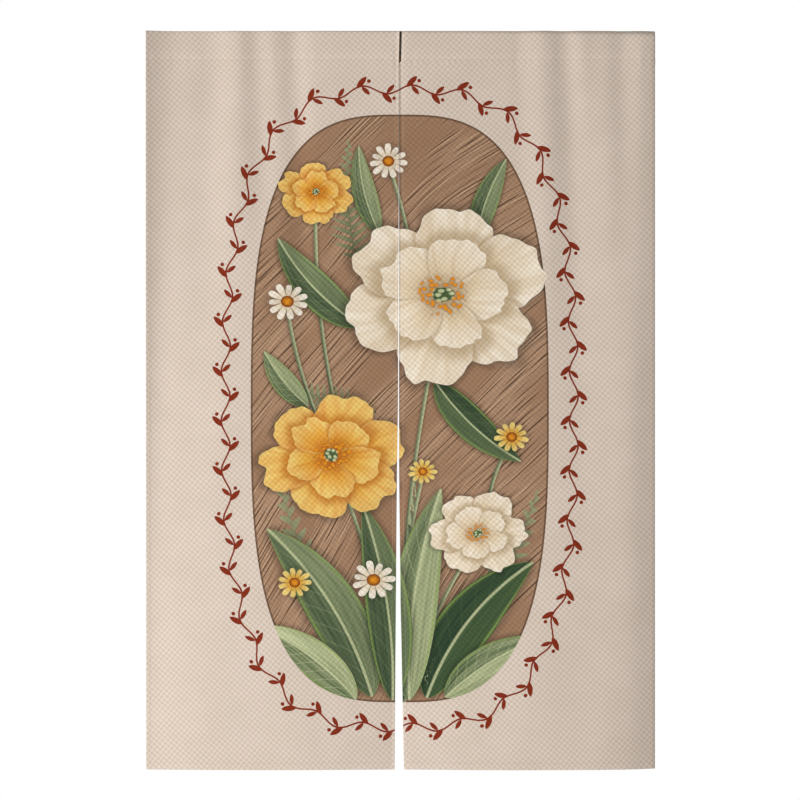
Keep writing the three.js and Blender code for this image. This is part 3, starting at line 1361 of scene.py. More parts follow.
    def _daisy(self) -> bpy.types.NodeTree:
        """Make a small daisy with a raised golden eye.

        Returns:
            The group.
        """
        inks = self.inks
        g = GroupSketch("Painted daisy", {"Bloom": Kind.VECTOR}, PAINTED)
        x, y, tone = g.split(g.given("Bloom"))
        on = g.over(tone, 0.99)
        gold = tone - 1.0
        radius = g.math("SQRT", x * x + y * y)
        petals = 11.0
        steps = (g.math("ARCTAN2", y, x) / TAU + 1.0) * petals
        index = g.floor(steps)
        off = abs(steps - index - 0.5) * 2.0
        luck = g.chance(g.math("MODULO", index, petals) + gold * 20.0)
        edge = (luck * 0.16 + 0.84) * g.most(1.0 - off**3.0, 0.0) ** 0.5
        inside = edge - radius
        eye = g.ramp(radius, 0.31, 0.28)
        body = g.blend(gold, inks.cream, inks.gold)
        tip = g.blend(gold, inks.cream_tip, inks.gold_tip)
        colour = g.blend(g.ramp(radius, 0.3, 0.8), body, tip)
        colour = g.shade(colour, 0.82 + luck * 0.16 - g.ramp(off, 0.3, 1.0) * 0.12)
        eye_paint = g.blend(g.ramp(radius, 0.3, 0.05), inks.stamen_dark, inks.stamen)
        colour = g.blend(eye, colour, eye_paint)
        shadow = g.ramp(radius, 1.2, 0.8) * on * 0.8
        return g.give(Colour=colour, Mask=g.most(g.ramp(inside, 0.0, 0.02), eye) * on, Shadow=shadow)

    def _print(self) -> bpy.types.NodeTree:
        """Lay the print's layers over each other.

        Returns:
            The group.
        """
        inks = self.inks
        g = GroupSketch("Flower print", {}, {"Colour": Kind.COLOUR, "Cover": Kind.NUMBER})
        inside, along, out = g.split(g.attribute("edges"))
        place = g.object_place()
        vine = g.place(self.border, Along=along, Out=out, Repeat=self.layout.border_repeat())["Mask"]
        ground = g.place(self.brushed, Place=place)["Colour"]
        in_field = g.ramp(inside, 0.0, 0.5 * MM)
        rim = g.ramp(inside, 4.2 * MM, 2.4 * MM)
        colour = g.blend(rim * 0.7, ground, inks.brown_line)
        frond = g.place(self.frond, Blade=g.attribute("frond"))
        colour = g.blend(frond["Mask"] * 0.85, colour, frond["Colour"])
        share, offset, distance = g.split(g.attribute("stem"))
        stem = g.over(3.0 * MM, abs(offset)) * g.over(5.2 * MM, distance)
        stem_light = g.ramp(offset, -3.0 * MM, 3.0 * MM) * 0.6 + share * 0.3
        colour = g.shade(colour, 1.0 - g.ramp(distance, 9.0 * MM, 3.0 * MM) * 0.28)
        colour = g.blend(stem, colour, g.blend(stem_light, inks.green_dark, inks.green_pale))
        for layer in range(LEAF_LAYERS):
            leaf = g.place(self.leaf, Blade=g.attribute(f"leaf_{layer}"))
            colour = g.shade(colour, 1.0 - leaf["Shadow"] * 0.42)
            colour = g.blend(leaf["Mask"], colour, leaf["Colour"])
        colour = g.blend(vine * (1.0 - in_field), colour, inks.russet)
        cover = g.most(in_field, vine)
        for name, group, depth in (("daisy", self.daisy, 0.34), ("bloom", self.bloom, 0.46)):
            flower = g.place(group, Bloom=g.attribute(name))
            colour = g.shade(colour, 1.0 - flower["Shadow"] * in_field * depth)
            colour = g.blend(flower["Mask"], colour, flower["Colour"])
            cover = g.most(cover, flower["Mask"])
        return g.give(Colour=colour, Cover=cover)


@dataclass(frozen=True)
class ClothFinish:
    """A matt basket-weave cloth, bare or with the print on it, with an optional band of painted shade.

    Attributes:
        name: The material's name.
        printed: How strongly the print shows, from 0 to 1.
        square: Size of the weave's squares, in metres.
        thread_light: Tint of the squares where the warp lies on top.
        thread_dark: Tint of the squares where the weft lies on top.
        relief: Height of the weave, in metres.
        patches: How close the cloth's faint lighter patches lie.
        slub: Share by which uneven yarns change the tone.
        slub_scale: How close these lie across and down the cloth.
        roughness: How matt it is.
        sheen: How much light its fuzz scatters at a slant.
        sheen_spread: How widely it does.
        specular: How much light it mirrors.
        painted_shade_at: Place across the cloth, in metres, of a band of painted shade that stands for
            the shade inside the sleeve behind the slot, or None.
        painted_shade_half: Half width of that band, in metres.
        painted_shade_soft: Width over which its sides fade, in metres.
        painted_shade_start: Lengths along the cloth between which the band sets in, above the lower
            edge.
        painted_shade_low: Lengths along the cloth between which the band fades, above the seam.
        painted_shade_high: Lengths along the cloth between which the band comes back, towards the top
            edge.
        painted_shade_top: Strength of the band where it has come back.
    """

    name: str
    printed: float
    painted_shade_at: float | None = None
    painted_shade_half: float = 5 * MM
    painted_shade_soft: float = 2 * MM
    painted_shade_start: tuple[float, float] = (1 * MM, 3 * MM)
    painted_shade_low: tuple[float, float] = (10 * MM, 18 * MM)
    painted_shade_high: tuple[float, float] = (52 * MM, 74 * MM)
    painted_shade_top: float = 0.5
    square: float = 4.7 * MM
    thread_light: Colour = (1.086, 1.086, 1.128, 1.0)
    thread_dark: Colour = (0.914, 0.914, 0.872, 1.0)
    relief: float = 0.2 * MM
    patches: float = 14.0
    slub: float = 0.06
    slub_scale: tuple[float, float] = (18.0, 420.0)
    roughness: float = 0.9
    sheen: float = 0.04
    sheen_spread: float = 0.6
    specular: float = 0.1

    def make(self, box: PaintBox) -> bpy.types.Material:
        """Make the material.

        Args:
            box: The groups that paint it.

        Returns:
            The material.
        """
        s = MaterialSketch(self.name)
        cloth = s.attribute("cloth")
        across, along, _ = s.split(cloth)
        weave = s.place(box.weave, Cloth=cloth, Square=self.square)
        patches = s.noise(cloth, self.patches, 2.0)
        colour = s.blend(s.ramp(patches, 0.3, 0.7), box.inks.beige_low, box.inks.beige)
        if self.printed:
            painted = s.place(box.print)
            colour = s.blend(painted["Cover"] * self.printed, colour, painted["Colour"])
            # Painted light and shade from the panel's tone attribute: shade on the top and right-hand
            # edges, stripes of light and shade beside the parting.
            colour = s.shade(colour, 1.0 - s.split(s.attribute("tone"))[0])
        # Painted shade: a dark band on the sleeve's inside behind the slot, in place of the shade that
        # falls in the sleeve.
        if self.painted_shade_at is not None:
            band = s.ramp(abs(across - self.painted_shade_at), self.painted_shade_half + self.painted_shade_soft, self.painted_shade_half)
            low = s.ramp(along, *self.painted_shade_low[::-1]) * s.ramp(along, *self.painted_shade_start)
            high = s.ramp(along, *self.painted_shade_high) * self.painted_shade_top
            colour = s.blend(band * s.most(low, high), colour, box.inks.sleeve_painted_shade)
        wide, close = self.slub_scale
        uneven = s.noise(s.join(across * wide, along * close), 1.0, 1.0)
        colour = s.shade(colour, uneven * self.slub + (1 - self.slub / 2))
        tint = s.blend(weave["Tone"], self.thread_light, self.thread_dark)
        return s.finish(
            Base_Color=s.tint(colour, tint),
            Normal=s.bump(weave["Height"], self.relief),
            Roughness=self.roughness,
            Sheen_Weight=self.sheen,
            Sheen_Roughness=self.sheen_spread,
            Specular_IOR_Level=self.specular,
        )


@dataclass(frozen=True)
class ThreadFinish:
    """Matt sewing thread with a twist along it, darker and lower between its turns per metre."""

    name: str
    colour: Colour
    shade: Colour
    turns: tuple[float, float] = (1900.0, 900.0)
    relief: float = 0.05 * MM
    roughness: float = 0.75

    def make(self) -> bpy.types.Material:
        """Make the material.

        Returns:
            The material.
        """
        s = MaterialSketch(self.name)
        x, y, z = s.split(s.object_place())
        twist = s.part((x + z) * self.turns[0] + y * self.turns[1])
        colour = s.blend(s.ramp(twist, 0.2, 0.8), self.shade, self.colour)
        return s.finish(Base_Color=colour, Normal=s.bump(twist, self.relief), Roughness=self.roughness)


class FaceSlot(Enum):
    """Which of a sheet's materials a face takes."""

    FRONT = 0
    BACK = 1


@dataclass
class ClothSheet:
    """A thin closed sheet over a grid of points, with rounded free edges.

    Attributes:
        name: The piece's name.
        front: Points of the outer face, rows down and columns across.
        thickness: Thickness at each point.
        round_off: How far the outer and inner face draw together at each point, towards a free edge.
        cloth: Place in the flat cloth at each point, across and down.
        rim: Which finish the rim takes.
    """

    name: str
    front: np.ndarray
    thickness: np.ndarray
    round_off: np.ndarray
    cloth: np.ndarray
    rim: FaceSlot = FaceSlot.FRONT
    normals: np.ndarray = field(init=False)
    outer: np.ndarray = field(init=False)
    inner: np.ndarray = field(init=False)

    def __post_init__(self) -> None:
        """Work out the two faces."""
        down = np.gradient(self.front, axis=0)
        across = np.gradient(self.front, axis=1)
        normal = np.cross(down, across)
        self.normals = normal / np.linalg.norm(normal, axis=2, keepdims=True)
        self.outer = self.front - self.normals * self.round_off[..., None]
        self.inner = self.front - self.normals * (self.thickness - self.round_off)[..., None]

    def build(
        self, layers: Mapping[str, np.ndarray], finishes: Sequence[bpy.types.Material]
    ) -> bpy.types.Object:
        """Make the mesh object.

        Args:
            layers: Vectors for each point of the grid, under the attribute names that hold them.
            finishes: Materials of the outer and the inner face.

        Returns:
            The object.
        """
        rows, columns = self.front.shape[:2]
        count = rows * columns
        points = np.concatenate([self.outer.reshape(-1, 3), self.inner.reshape(-1, 3)])
        grid = np.arange(count).reshape(rows, columns)
        a, b, c, d = grid[:-1, :-1], grid[1:, :-1], grid[1:, 1:], grid[:-1, 1:]
        outer_faces = np.stack([a, b, c, d], axis=-1).reshape(-1, 4)
        inner_faces = np.stack([a, d, c, b], axis=-1).reshape(-1, 4) + count
        edge = np.concatenate([grid[:-1, 0], grid[-1, :-1], grid[:0:-1, -1], grid[0, :0:-1]])
        onward = np.roll(edge, -1)
        rim_faces = np.stack([edge, edge + count, onward + count, onward], axis=-1)
        faces = np.concatenate([outer_faces, inner_faces, rim_faces])
        mesh = bpy.data.meshes.new(self.name)
        mesh.from_pydata(points.tolist(), [], faces.tolist())
        for finish in finishes:
            mesh.materials.append(finish)
        slots = np.full(len(faces), FaceSlot.FRONT.value, dtype=np.int32)
        slots[len(outer_faces) : len(outer_faces) + len(inner_faces)] = FaceSlot.BACK.value
        slots[len(outer_faces) + len(inner_faces) :] = self.rim.value
        mesh.polygons.foreach_set("material_index", slots)
        mesh.polygons.foreach_set("use_smooth", np.ones(len(faces), dtype=bool))
        self._write(mesh, "cloth", np.pad(self.cloth.reshape(-1, 2), ((0, 0), (0, 1))))
        for name, values in layers.items():
            self._write(mesh, name, values)
        self._map(mesh, faces, count, len(outer_faces))
        mesh.update()
        return add_object(self.name, mesh)

    @staticmethod
    def _write(mesh: bpy.types.Mesh, name: str, values: np.ndarray) -> None:
        """Store a vector for each point, the same on both faces."""
        both = np.concatenate([values, values]).astype(np.float32)
        mesh.attributes.new(name, "FLOAT_VECTOR", "POINT").data.foreach_set("vector", both.ravel())

    def _map(self, mesh: bpy.types.Mesh, faces: np.ndarray, count: int, outer_faces: int) -> None:
        """Lay the outer face in the left half of a flat map and the inner face in the right half.

        Args:
            mesh: The mesh.
            faces: Its faces.
            count: Points on one face of the sheet.
            outer_faces: Faces on the outer side.
        """
        flat = self.cloth.reshape(-1, 2)
        low = flat.min(axis=0)
        share = (flat - low) / (flat.max(axis=0) - low)
        margin = 0.012
        u = margin + share[:, 0] * (0.5 - 2 * margin)
        v = 1 - margin - share[:, 1] * (1 - 2 * margin)
        left = np.stack([u, v], axis=1)
        right = left + np.array([0.5, 0.0])
        rim_start = 2 * outer_faces
        places = np.concatenate([left, right])[faces]
        rows, columns = self.front.shape[:2]
        row, column = np.divmod(np.arange(count), columns)
        beside = (column == columns - 1).astype(float) - (column == 0)
        above = (row == 0).astype(float) - (row == rows - 1)
        outward = np.stack([beside, above], axis=1) * margin / 3
        rim = faces[rim_start:]
        on_front = rim % count
        places[rim_start:] = left[on_front] + np.where((rim >= count)[..., None], outward[on_front], 0.0)
        layer = mesh.uv_layers.new(name="OFBake")
        layer.data.foreach_set("uv", places.reshape(-1).astype(np.float32))


def edge_marks(length: float, step: float, fine: Sequence[float]) -> np.ndarray:
    """Space marks along a length, crowded at both ends.

    Args:
        length: The whole length.
        step: Usual spacing.
        fine: Marks near each end, measured from it.

    Returns:
        The marks in order.
    """
    ends = np.array(fine)
    inner = length - 2 * ends[-1]
    middle = np.linspace(ends[-1], length - ends[-1], max(2, round(inner / step)) + 1)
    return np.concatenate([ends[:-1], middle, (length - ends[:-1])[::-1]])


def rounded(gap: np.ndarray, radius: float) -> np.ndarray:
    """Read how far a face draws in beside a rounded edge.

    Args:
        gap: Distance from the edge.
        radius: The edge's radius.

    Returns:
        How far the face draws in.
    """
    short = radius - np.clip(gap, 0, radius)
    return radius - np.sqrt(radius**2 - short**2)


@dataclass(frozen=True)
class Stripe:
    """A soft stripe of light or shade along a panel's inner edge.

    Attributes:
        beside_slot: Whether it runs beside the slot or below it.
        dark: Share of light lost, negative for a gain.
        away: Distance from the edge, in millimetres.
        half: Half width, in millimetres.
        fade: Drop over which it dies away, in millimetres.
    """

    beside_slot: bool
    dark: float
    away: float
    half: float
    fade: float


STRIPES = {
    Side.LEFT: (
        Stripe(True, -0.24, 1.7, 1.2, 1000),
        Stripe(False, -0.07, 1.9, 1.5, 150),
    ),
    Side.RIGHT: (
        Stripe(True, -0.22, 2.3, 1.4, 1000),
        Stripe(False, 0.24, 1.5, 1.3, 400),
        Stripe(False, -0.13, 5.6, 2.4, 150),
    ),
}


@dataclass
class Panel:
    """One printed panel, in metres: rolled back over the top edge, hemmed at its sides and foot."""

    side: Side
    hang: Hang
    # The cloth and its hems, which are turned to the back and set in below the heading strip
    cloth: float = 1.2 * MM
    hem_extra: float = 1.1 * MM
    hem_step: float = 0.8 * MM
    side_hem: float = 8 * MM
    side_hem_top: tuple[float, float] = (3 * MM, 7 * MM)
    foot_hem: float = 12 * MM
    # The stitching, with the depth and half width of the dent it makes in the hems and at the seam
    stitch_inset: float = 1.4 * MM
    hem_dent: tuple[float, float] = (0.06 * MM, 1.1 * MM)
    seam_dent: tuple[float, float] = (0.12 * MM, 1.8 * MM)
    # Rounding of the edges, at most a share of the thickness
    outer_radii: tuple[float, float] = (0.45 * MM, 1.0 * MM)
    inner_radius: float = 0.8 * MM
    foot_radius: float = 0.45 * MM
    round_limit: float = 0.48
    # Share of light that the top edge and the right-hand edge lose, and the width of the latter
    edge_dark: tuple[float, float] = (0.45, 0.3)
    edge_dark_reach: float = 1.5 * MM
    # Rows of points round the roll, in front of the sleeve and between the seam and the side stitching
    roll_rows: int = 7
    sleeve_rows: int = 11
    clear_rows: int = 4
    # Spacing of points over the cloth, near its edges and the foot hem's fold, and down past the seam
    grid: float = 3.9 * MM
    edge_fine: tuple[float, ...] = (
        0, 0.12 * MM, 0.45 * MM, 1.1 * MM, 2.6 * MM, 4.8 * MM, 6.4 * MM, 7.4 * MM, 8.6 * MM
    )
    hem_fine: tuple[float, ...] = (11.2 * MM, 12.0 * MM, 13.0 * MM)
    seam_clear: float = 3 * MM
    seam_fine: tuple[float, ...] = (
        -1.8 * MM, -0.9 * MM, -0.3 * MM, 0.3 * MM, 0.9 * MM, 1.8 * MM, 2.9 * MM
    )
    # The row on which the flat width is measured
    width_row: int = 60
    sheet: ClothSheet = field(init=False)

    @property
    def name(self) -> str:
        """The CAD node that this panel stands for."""
        return "panel_left" if self.side is Side.LEFT else "panel_right"

    @property
    def edge_radii(self) -> tuple[float, float]:
        """Pick the rounding of the panel's edges.

        Returns:
            Radius of the left and of the right edge.
        """
        if self.side is Side.LEFT:
            return self.outer_radii[0], self.inner_radius
        return self.inner_radius, self.outer_radii[1]

    def edges(self, drop: np.ndarray) -> tuple[np.ndarray, np.ndarray]:
        """Find the panel's left and right edge.

        Args:
            drop: Drops to read them at.

        Returns:
            The x of each edge at each drop.
        """
        inner = self.hang.inner_edge(self.side, drop)
        if self.side is Side.LEFT:
            return np.full_like(drop, self.hang.left_edge), inner
        return inner, self.hang.outer_edge(drop)

    def row_lengths(self) -> np.ndarray:
        """Space the rows of points down the cloth.

        Returns:
            Lengths of cloth from the back of the roll.
        """
        hang = self.hang
        roll = hang.front_roll * math.pi / 2
        turned = np.linspace(0, roll, self.roll_rows)[:-1]
        seam = hang.sleeve_drop
        upper = np.linspace(hang.front_roll, seam - self.seam_clear, self.sleeve_rows)
        at_seam = seam + np.array(self.seam_fine)
        foot = np.array(self.edge_fine + self.hem_fine)[::-1]
        spans = round((hang.drop - foot[0] - hang.slot_foot) / self.grid)
        body = np.linspace(hang.slot_foot, hang.drop - foot[0], spans + 1)
        drops = np.concatenate([upper, at_seam, body, hang.drop - foot[1:]])
        return np.concatenate([turned, drops - hang.front_roll + roll])

    def build(self, layout: PrintLayout, finishes: Sequence[bpy.types.Material]) -> bpy.types.Object:
        """Make the panel's mesh.

        Args:
            layout: The print on it.
            finishes: Materials of its front and back.

        Returns:
            The object.
        """
        hang = self.hang
        roll = hang.front_roll * math.pi / 2
        width = float(np.diff([e[0] for e in self.edges(np.array([hang.sleeve_drop]))])[0])
        shares = edge_marks(width, self.grid, self.edge_fine) / width
        lengths = self.row_lengths()
        turn = (np.clip(roll - lengths, 0, None) / hang.front_roll)[:, None]
        flat_drop = hang.front_roll + np.clip(lengths - roll, 0, None)
        left, right = self.edges(flat_drop - hang.front_roll * np.sin(turn[:, 0]))
        across = (right - left)[:, None] * shares[None, :]
        x = left[:, None] + across
        face_drop = np.broadcast_to(flat_drop[:, None], x.shape)
        lip = hang.inner_lip(self.side, x, face_drop)
        y = hang.front_y(x, face_drop) - lip + hang.roll_depth(x) * (1 - np.cos(turn))
        settling = np.clip((hang.roll_settle - face_drop) / (hang.roll_settle - hang.front_roll), 0, 1)
        fall = hang.roll_fall(x)
        z = fall * np.sin(turn) - (fall - hang.front_roll) * settling - face_drop
        to_edges = (across, (right - left)[:, None] - across)
        to_side = np.minimum(*to_edges)
        to_foot = np.broadcast_to((hang.drop - flat_drop)[:, None], x.shape)
        thickness, dents = self._hems(to_side, to_foot, face_drop)
        rounds = [rounded(gap, radius) for gap, radius in zip(to_edges, self.edge_radii)]
        round_off = np.maximum(np.maximum(*rounds), rounded(to_foot, self.foot_radius))
        round_off = np.minimum(round_off + dents, self.round_limit * thickness)
        across_cloth = np.broadcast_to(shares * width, x.shape)
        cloth = np.stack([across_cloth, self._cloth_lengths(lengths, y, z)], axis=-1)
        points = np.stack([x, y, z], axis=-1)
        self.sheet = ClothSheet(f"{self.name}_cloth", points, thickness, round_off, cloth)
        layers = layout.layers(np.stack([x, -z], axis=-1).reshape(-1, 2))
        tone = self._painted_light(x, to_edges, face_drop, turn)
        # Painted light and shade, kept in the tone attribute as the share of light lost at each point.
        layers["tone"] = np.pad(tone.reshape(-1, 1), ((0, 0), (0, 2)))
        return self.sheet.build(layers, finishes)

    def _painted_light(
        self, x: np.ndarray, to_edges: tuple[np.ndarray, np.ndarray], drop: np.ndarray, turn: np.ndarray
    ) -> np.ndarray:
        """Paint shade on the top and right-hand edges, and lay the painted stripes of light and shade
        along the parting.

        Args:
            x: Places across the panel.
            to_edges: Distance from the left and from the right edge.
            drop: Drops, of the same shape.
            turn: How far the cloth has turned back at each row.

        Returns:
            Share of light lost at each point.
        """
        inner, outer = to_edges[::-1] if self.side is Side.LEFT else to_edges
        slot_foot = self.hang.slot_foot
        below = ease(slot_foot - 2 * MM, slot_foot + 2 * MM, drop)
        lost = np.zeros_like(x)
        for stripe in STRIPES[self.side]:
            across = (inner - stripe.away * MM) / (stripe.half * MM)
            down = drop / (stripe.fade * MM)
            near = np.exp(-across * across - down * down)
            lost += stripe.dark * near * abs(stripe.beside_slot - below)
        top, side = self.edge_dark
        dark = top * self.hang.share_across(x) ** 4 * np.sin(turn) ** 2
        if self.side is Side.RIGHT:
            dark = np.maximum(dark, side * np.exp(-((outer / self.edge_dark_reach) ** 2)))
        return dark + lost

    def _cloth_lengths(self, lengths: np.ndarray, y: np.ndarray, z: np.ndarray) -> np.ndarray:
        """Measure the cloth down each column, true to the roll above the seam.

        Args:
            lengths: Usual length of cloth at each row.
            y: Depth of each point.
            z: Height of each point.

        Returns:
            Length of cloth at each point.
        """
        seam = self.seam_row(lengths)
        steps = np.hypot(np.diff(y, axis=0), np.diff(z, axis=0))
        above = np.cumsum(steps[:seam][::-1], axis=0)[::-1]
        result = np.repeat(lengths[:, None], y.shape[1], axis=1)
        result[:seam] = lengths[seam] - above
        return result

    def seam_row(self, lengths: np.ndarray) -> int:
        """Find the row on the sleeve's seam."""
        roll_rise = self.hang.front_roll * (math.pi / 2 - 1)
        return int(np.argmin(np.abs(lengths - roll_rise - self.hang.sleeve_drop)))

    def _hems(
        self, to_side: np.ndarray, to_foot: np.ndarray, drop: np.ndarray
    ) -> tuple[np.ndarray, np.ndarray]:
        """Thicken the cloth at its hems, and draw it in along its rows of stitching.

        Args:
            to_side: Distance from the nearer side edge.
            to_foot: Distance from the foot.
            drop: Drops, of the same shape.

        Returns:
            The thickness, and how far the cloth is drawn in, at each point.
        """
        start, full = self.side_hem_top
        below = ease(self.hang.sleeve_foot + start, self.hang.sleeve_foot + full, drop)
        side = ease(-self.side_hem - self.hem_step, -self.side_hem, -to_side) * below
        foot = ease(-self.foot_hem - self.hem_step, -self.foot_hem, -to_foot)
        thickness = self.cloth + self.hem_extra * np.maximum(side, foot)
        depth, half = self.hem_dent
        seam_depth, seam_half = self.seam_dent
        side = np.exp(-(((to_side - self.side_hem + self.stitch_inset) / half) ** 2))
        foot = np.exp(-(((to_foot - self.foot_hem + self.stitch_inset) / half) ** 2))
        seam = np.exp(-(((drop - self.hang.sleeve_drop) / seam_half) ** 2))
        return thickness, depth * np.maximum(side, foot) + seam_depth * seam

    def stitch_rows(self) -> list[np.ndarray]:
        """Follow the panel's rows of stitching on its front face.

        Returns:
            Points of each row.
        """
        grid = self.sheet.outer + self.sheet.normals * STITCH_PROUD
        lengths = self.row_lengths()
        across = self.sheet.cloth[0, :, 0]
        seam_row = self.seam_row(lengths)
        foot_row = int(np.argmin(np.abs(lengths[-1] - lengths - self.foot_hem + self.stitch_inset)))
        inset = self.side_hem - self.stitch_inset
        first = int(np.argmin(np.abs(across - inset)))
        last = int(np.argmin(np.abs(across[-1] - across - inset)))
        rows = [grid[seam_row, 1:-1], grid[foot_row, first : last + 1]]
        rows += [grid[seam_row + self.clear_rows : foot_row, column] for column in (first, last)]
        return rows


@dataclass
class Heading:
    """The strip behind the top edge, which makes the pole sleeve and joins the two panels.

    Attributes:
        hang: The form in which it hangs.
        cloth: Its thickness.
        sewn_gap: Gap between it and the panels where they are sewn together.
        back_roll: Radius of its roll at the back of the top edge.
        straight_to: Drop to which its back hangs straight.
        top_rows: Rows of points on the top edge.
        stitch_row: Row of points under the stitching.
        edge_radius: Rounding of its edges.
        grid: Spacing of its points.
        edge_fine: Points near its ends, measured from them.
    """

    hang: Hang
    cloth: float = 1.2 * MM
    sewn_gap: float = 0.4 * MM
    back_roll: float = 10 * MM
    straight_to: float = 30 * MM
    top_rows: int = 4
    stitch_row: int = 3
    edge_radius: float = 0.55 * MM
    grid: float = 4 * MM
    edge_fine: tuple[float, ...] = (0, 0.25 * MM, 0.6 * MM, 1.4 * MM)
    sheet: ClothSheet = field(init=False)

    name = "heading"

    def section(self) -> np.ndarray:
        """Draw the strip's section, from its lower margin up the back and forward over the top edge.

        Returns:
            Distance behind the panels' front face, and drop, a row for each point.
        """
        hang = self.hang
        land = 2 * self.cloth + self.sewn_gap
        bend = (hang.sleeve_drop - self.straight_to) / 2
        t = np.linspace(0, 1, 13)[:, None]
        knots = ((land, hang.sleeve_drop), (land, hang.sleeve_drop - bend))
        knots += ((hang.sleeve_depth, self.straight_to + bend), (hang.sleeve_depth, self.straight_to))
        a, b, c, d = (np.array(k) for k in knots)
        rise = (1 - t) ** 3 * a + 3 * t * (1 - t) ** 2 * b + 3 * t**2 * (1 - t) * c + t**3 * d
        margin = np.linspace((land, hang.sleeve_foot), (land, hang.sleeve_drop), 5)[:-1]
        straight = np.linspace(d, (hang.sleeve_depth, self.back_roll), 7)[1:-1]
        angle = np.linspace(0, math.pi / 2, 9)
        shoulder = hang.sleeve_depth - self.back_roll
        back = shoulder + self.back_roll * np.cos(angle)
        turn = np.stack([back, self.back_roll * (1 - np.sin(angle))], axis=1)
        top = np.linspace((shoulder, 0), (hang.front_roll + self.sewn_gap, 0), self.top_rows + 1)[1:]
        return np.concatenate([margin, rise, straight, turn, top])

    def build(self, finishes: Sequence[bpy.types.Material]) -> bpy.types.Object:
        """Make the strip's mesh.

        Args:
            finishes: Materials of its back and of the sleeve's inside.

        Returns:
            The object.
        """
        hang = self.hang
        section = self.section()
        behind = section[:, 0]
        drop = section[:, 1]
        width = hang.right_edge - hang.left_edge
        across = edge_marks(width, self.grid, self.edge_fine)
        x = np.broadcast_to(hang.left_edge + across, (len(drop), len(across)))
        face_drop = np.broadcast_to(np.maximum(drop, hang.front_roll)[:, None], x.shape)
        on_top = np.clip(np.arange(len(drop)) - len(drop) + 1 + self.top_rows, 0, None) / self.top_rows
        deeper = on_top[:, None] * (hang.roll_depth(x) - hang.front_roll)
        y = hang.front_y(x, face_drop) + behind[:, None] + deeper
        z = np.broadcast_to(-drop[:, None], x.shape)
        steps = np.hypot(*np.diff(section, axis=0).T)
        lengths = np.concatenate([[0.0], np.cumsum(steps)])
        to_side = np.minimum(across, width - across)[None, :]
        gap = np.minimum(np.broadcast_to(to_side, x.shape), lengths[:, None])
        round_off = rounded(gap, self.edge_radius)
        along_cloth = np.broadcast_to(lengths[:, None], x.shape)
        cloth = np.stack([np.broadcast_to(across, x.shape), along_cloth], axis=-1)
        thickness = np.full(x.shape, self.cloth)
        points = np.stack([x, y, z], axis=-1)
        self.sheet = ClothSheet(f"{self.name}_cloth", points, thickness, round_off, cloth, FaceSlot.BACK)
        return self.sheet.build({}, finishes)

    def stitch_rows(self) -> list[np.ndarray]:
        """Follow the row of stitching along the strip's margin, on its back."""
        grid = self.sheet.outer + self.sheet.normals * STITCH_PROUD
        return [grid[self.stitch_row, 1:-1]]


@dataclass
class Stitching:
    """Rows of small, slightly uneven stitches, set along guide lines by Geometry Nodes."""

    name: str
    pitch: float = 3.6 * MM
    length: float = 2.7 * MM
    thread: float = 0.5 * MM
    seed: int = 5

    def tree(self, finish: bpy.types.Material) -> bpy.types.NodeTree:
        """Make the node tree that sets the stitches.

        Args:
            finish: The thread's material.

        Returns:
            The tree.
        """
        sizes = {label: Kind.NUMBER for label in ("Pitch", "Stitch Length", "Thread")}
        shape = {"Geometry": Kind.GEOMETRY}
        g = GeometrySketch("Stitch row", shape | sizes, shape)
        thread = g.given("Thread")
        curve = g.made("GeometryNodeMeshToCurve", {0: g.given("Geometry")})
        along = {"Curve": curve, "Length": g.given("Pitch")}
        spaced = g.made("GeometryNodeResampleCurve", along, mode="LENGTH")
        tangent = g.made("GeometryNodeInputTangent", {})
        turned = g.made("FunctionNodeAlignRotationToVector", {"Vector": tangent}, axis="X")
        bead = g.made("GeometryNodeMeshUVSphere", {"Segments": 6, "Rings": 4, "Radius": 0.5})
        size = g.join(g.given("Stitch Length"), thread, thread)
        shaped = g.made("GeometryNodeTransform", {"Geometry": bead, "Scale": size})
        uneven = {0: (0.9, 0.9, 0.9), 1: (1.1, 1.1, 1.1), "Seed": self.seed}
        scale = g.made("FunctionNodeRandomValue", uneven, data_type="FLOAT_VECTOR")
        each = {"Points": spaced, "Instance": shaped, "Rotation": turned, "Scale": scale}
        placed = g.made("GeometryNodeInstanceOnPoints", each)
        real = g.made("GeometryNodeRealizeInstances", {0: placed})
        dressed = g.made("GeometryNodeSetMaterial", {"Geometry": real, "Material": finish})
        return g.give(Geometry=dressed)

    def build(self, rows: Sequence[np.ndarray], finish: bpy.types.Material) -> bpy.types.Object:
        """Set the stitches along the rows.

        Args:
            rows: Points of each guide line.
            finish: The thread's material.

        Returns:
            The stitches as one plain mesh.
        """
        points = np.concatenate(rows)
        starts = np.cumsum([0] + [len(row) for row in rows[:-1]])
        first = [int(start) + i for start, row in zip(starts, rows) for i in range(len(row) - 1)]
        guide_mesh = bpy.data.meshes.new(f"{self.name}_guide")
        guide_mesh.from_pydata(points.tolist(), [(i, i + 1) for i in first], [])
        guide = add_object(f"{self.name}_guide", guide_mesh)
        tree = self.tree(finish)
        modifier = guide.modifiers.new("Stitches", "NODES")
        modifier.node_group = tree
        sizes = {"Pitch": self.pitch, "Stitch Length": self.length, "Thread": self.thread}
        for item in tree.interface.items_tree:
            if item.in_out == "INPUT" and item.name in sizes:
                modifier[item.identifier] = sizes[item.name]
        evaluated = guide.evaluated_get(bpy.context.evaluated_depsgraph_get())
        mesh = bpy.data.meshes.new_from_object(evaluated)
        mesh.name = self.name
        guide.modifiers.remove(modifier)
        bpy.data.objects.remove(guide)
        bpy.data.meshes.remove(guide_mesh)
        mesh.polygons.foreach_set("use_smooth", np.ones(len(mesh.polygons), dtype=bool))
        return add_object(self.name, mesh)


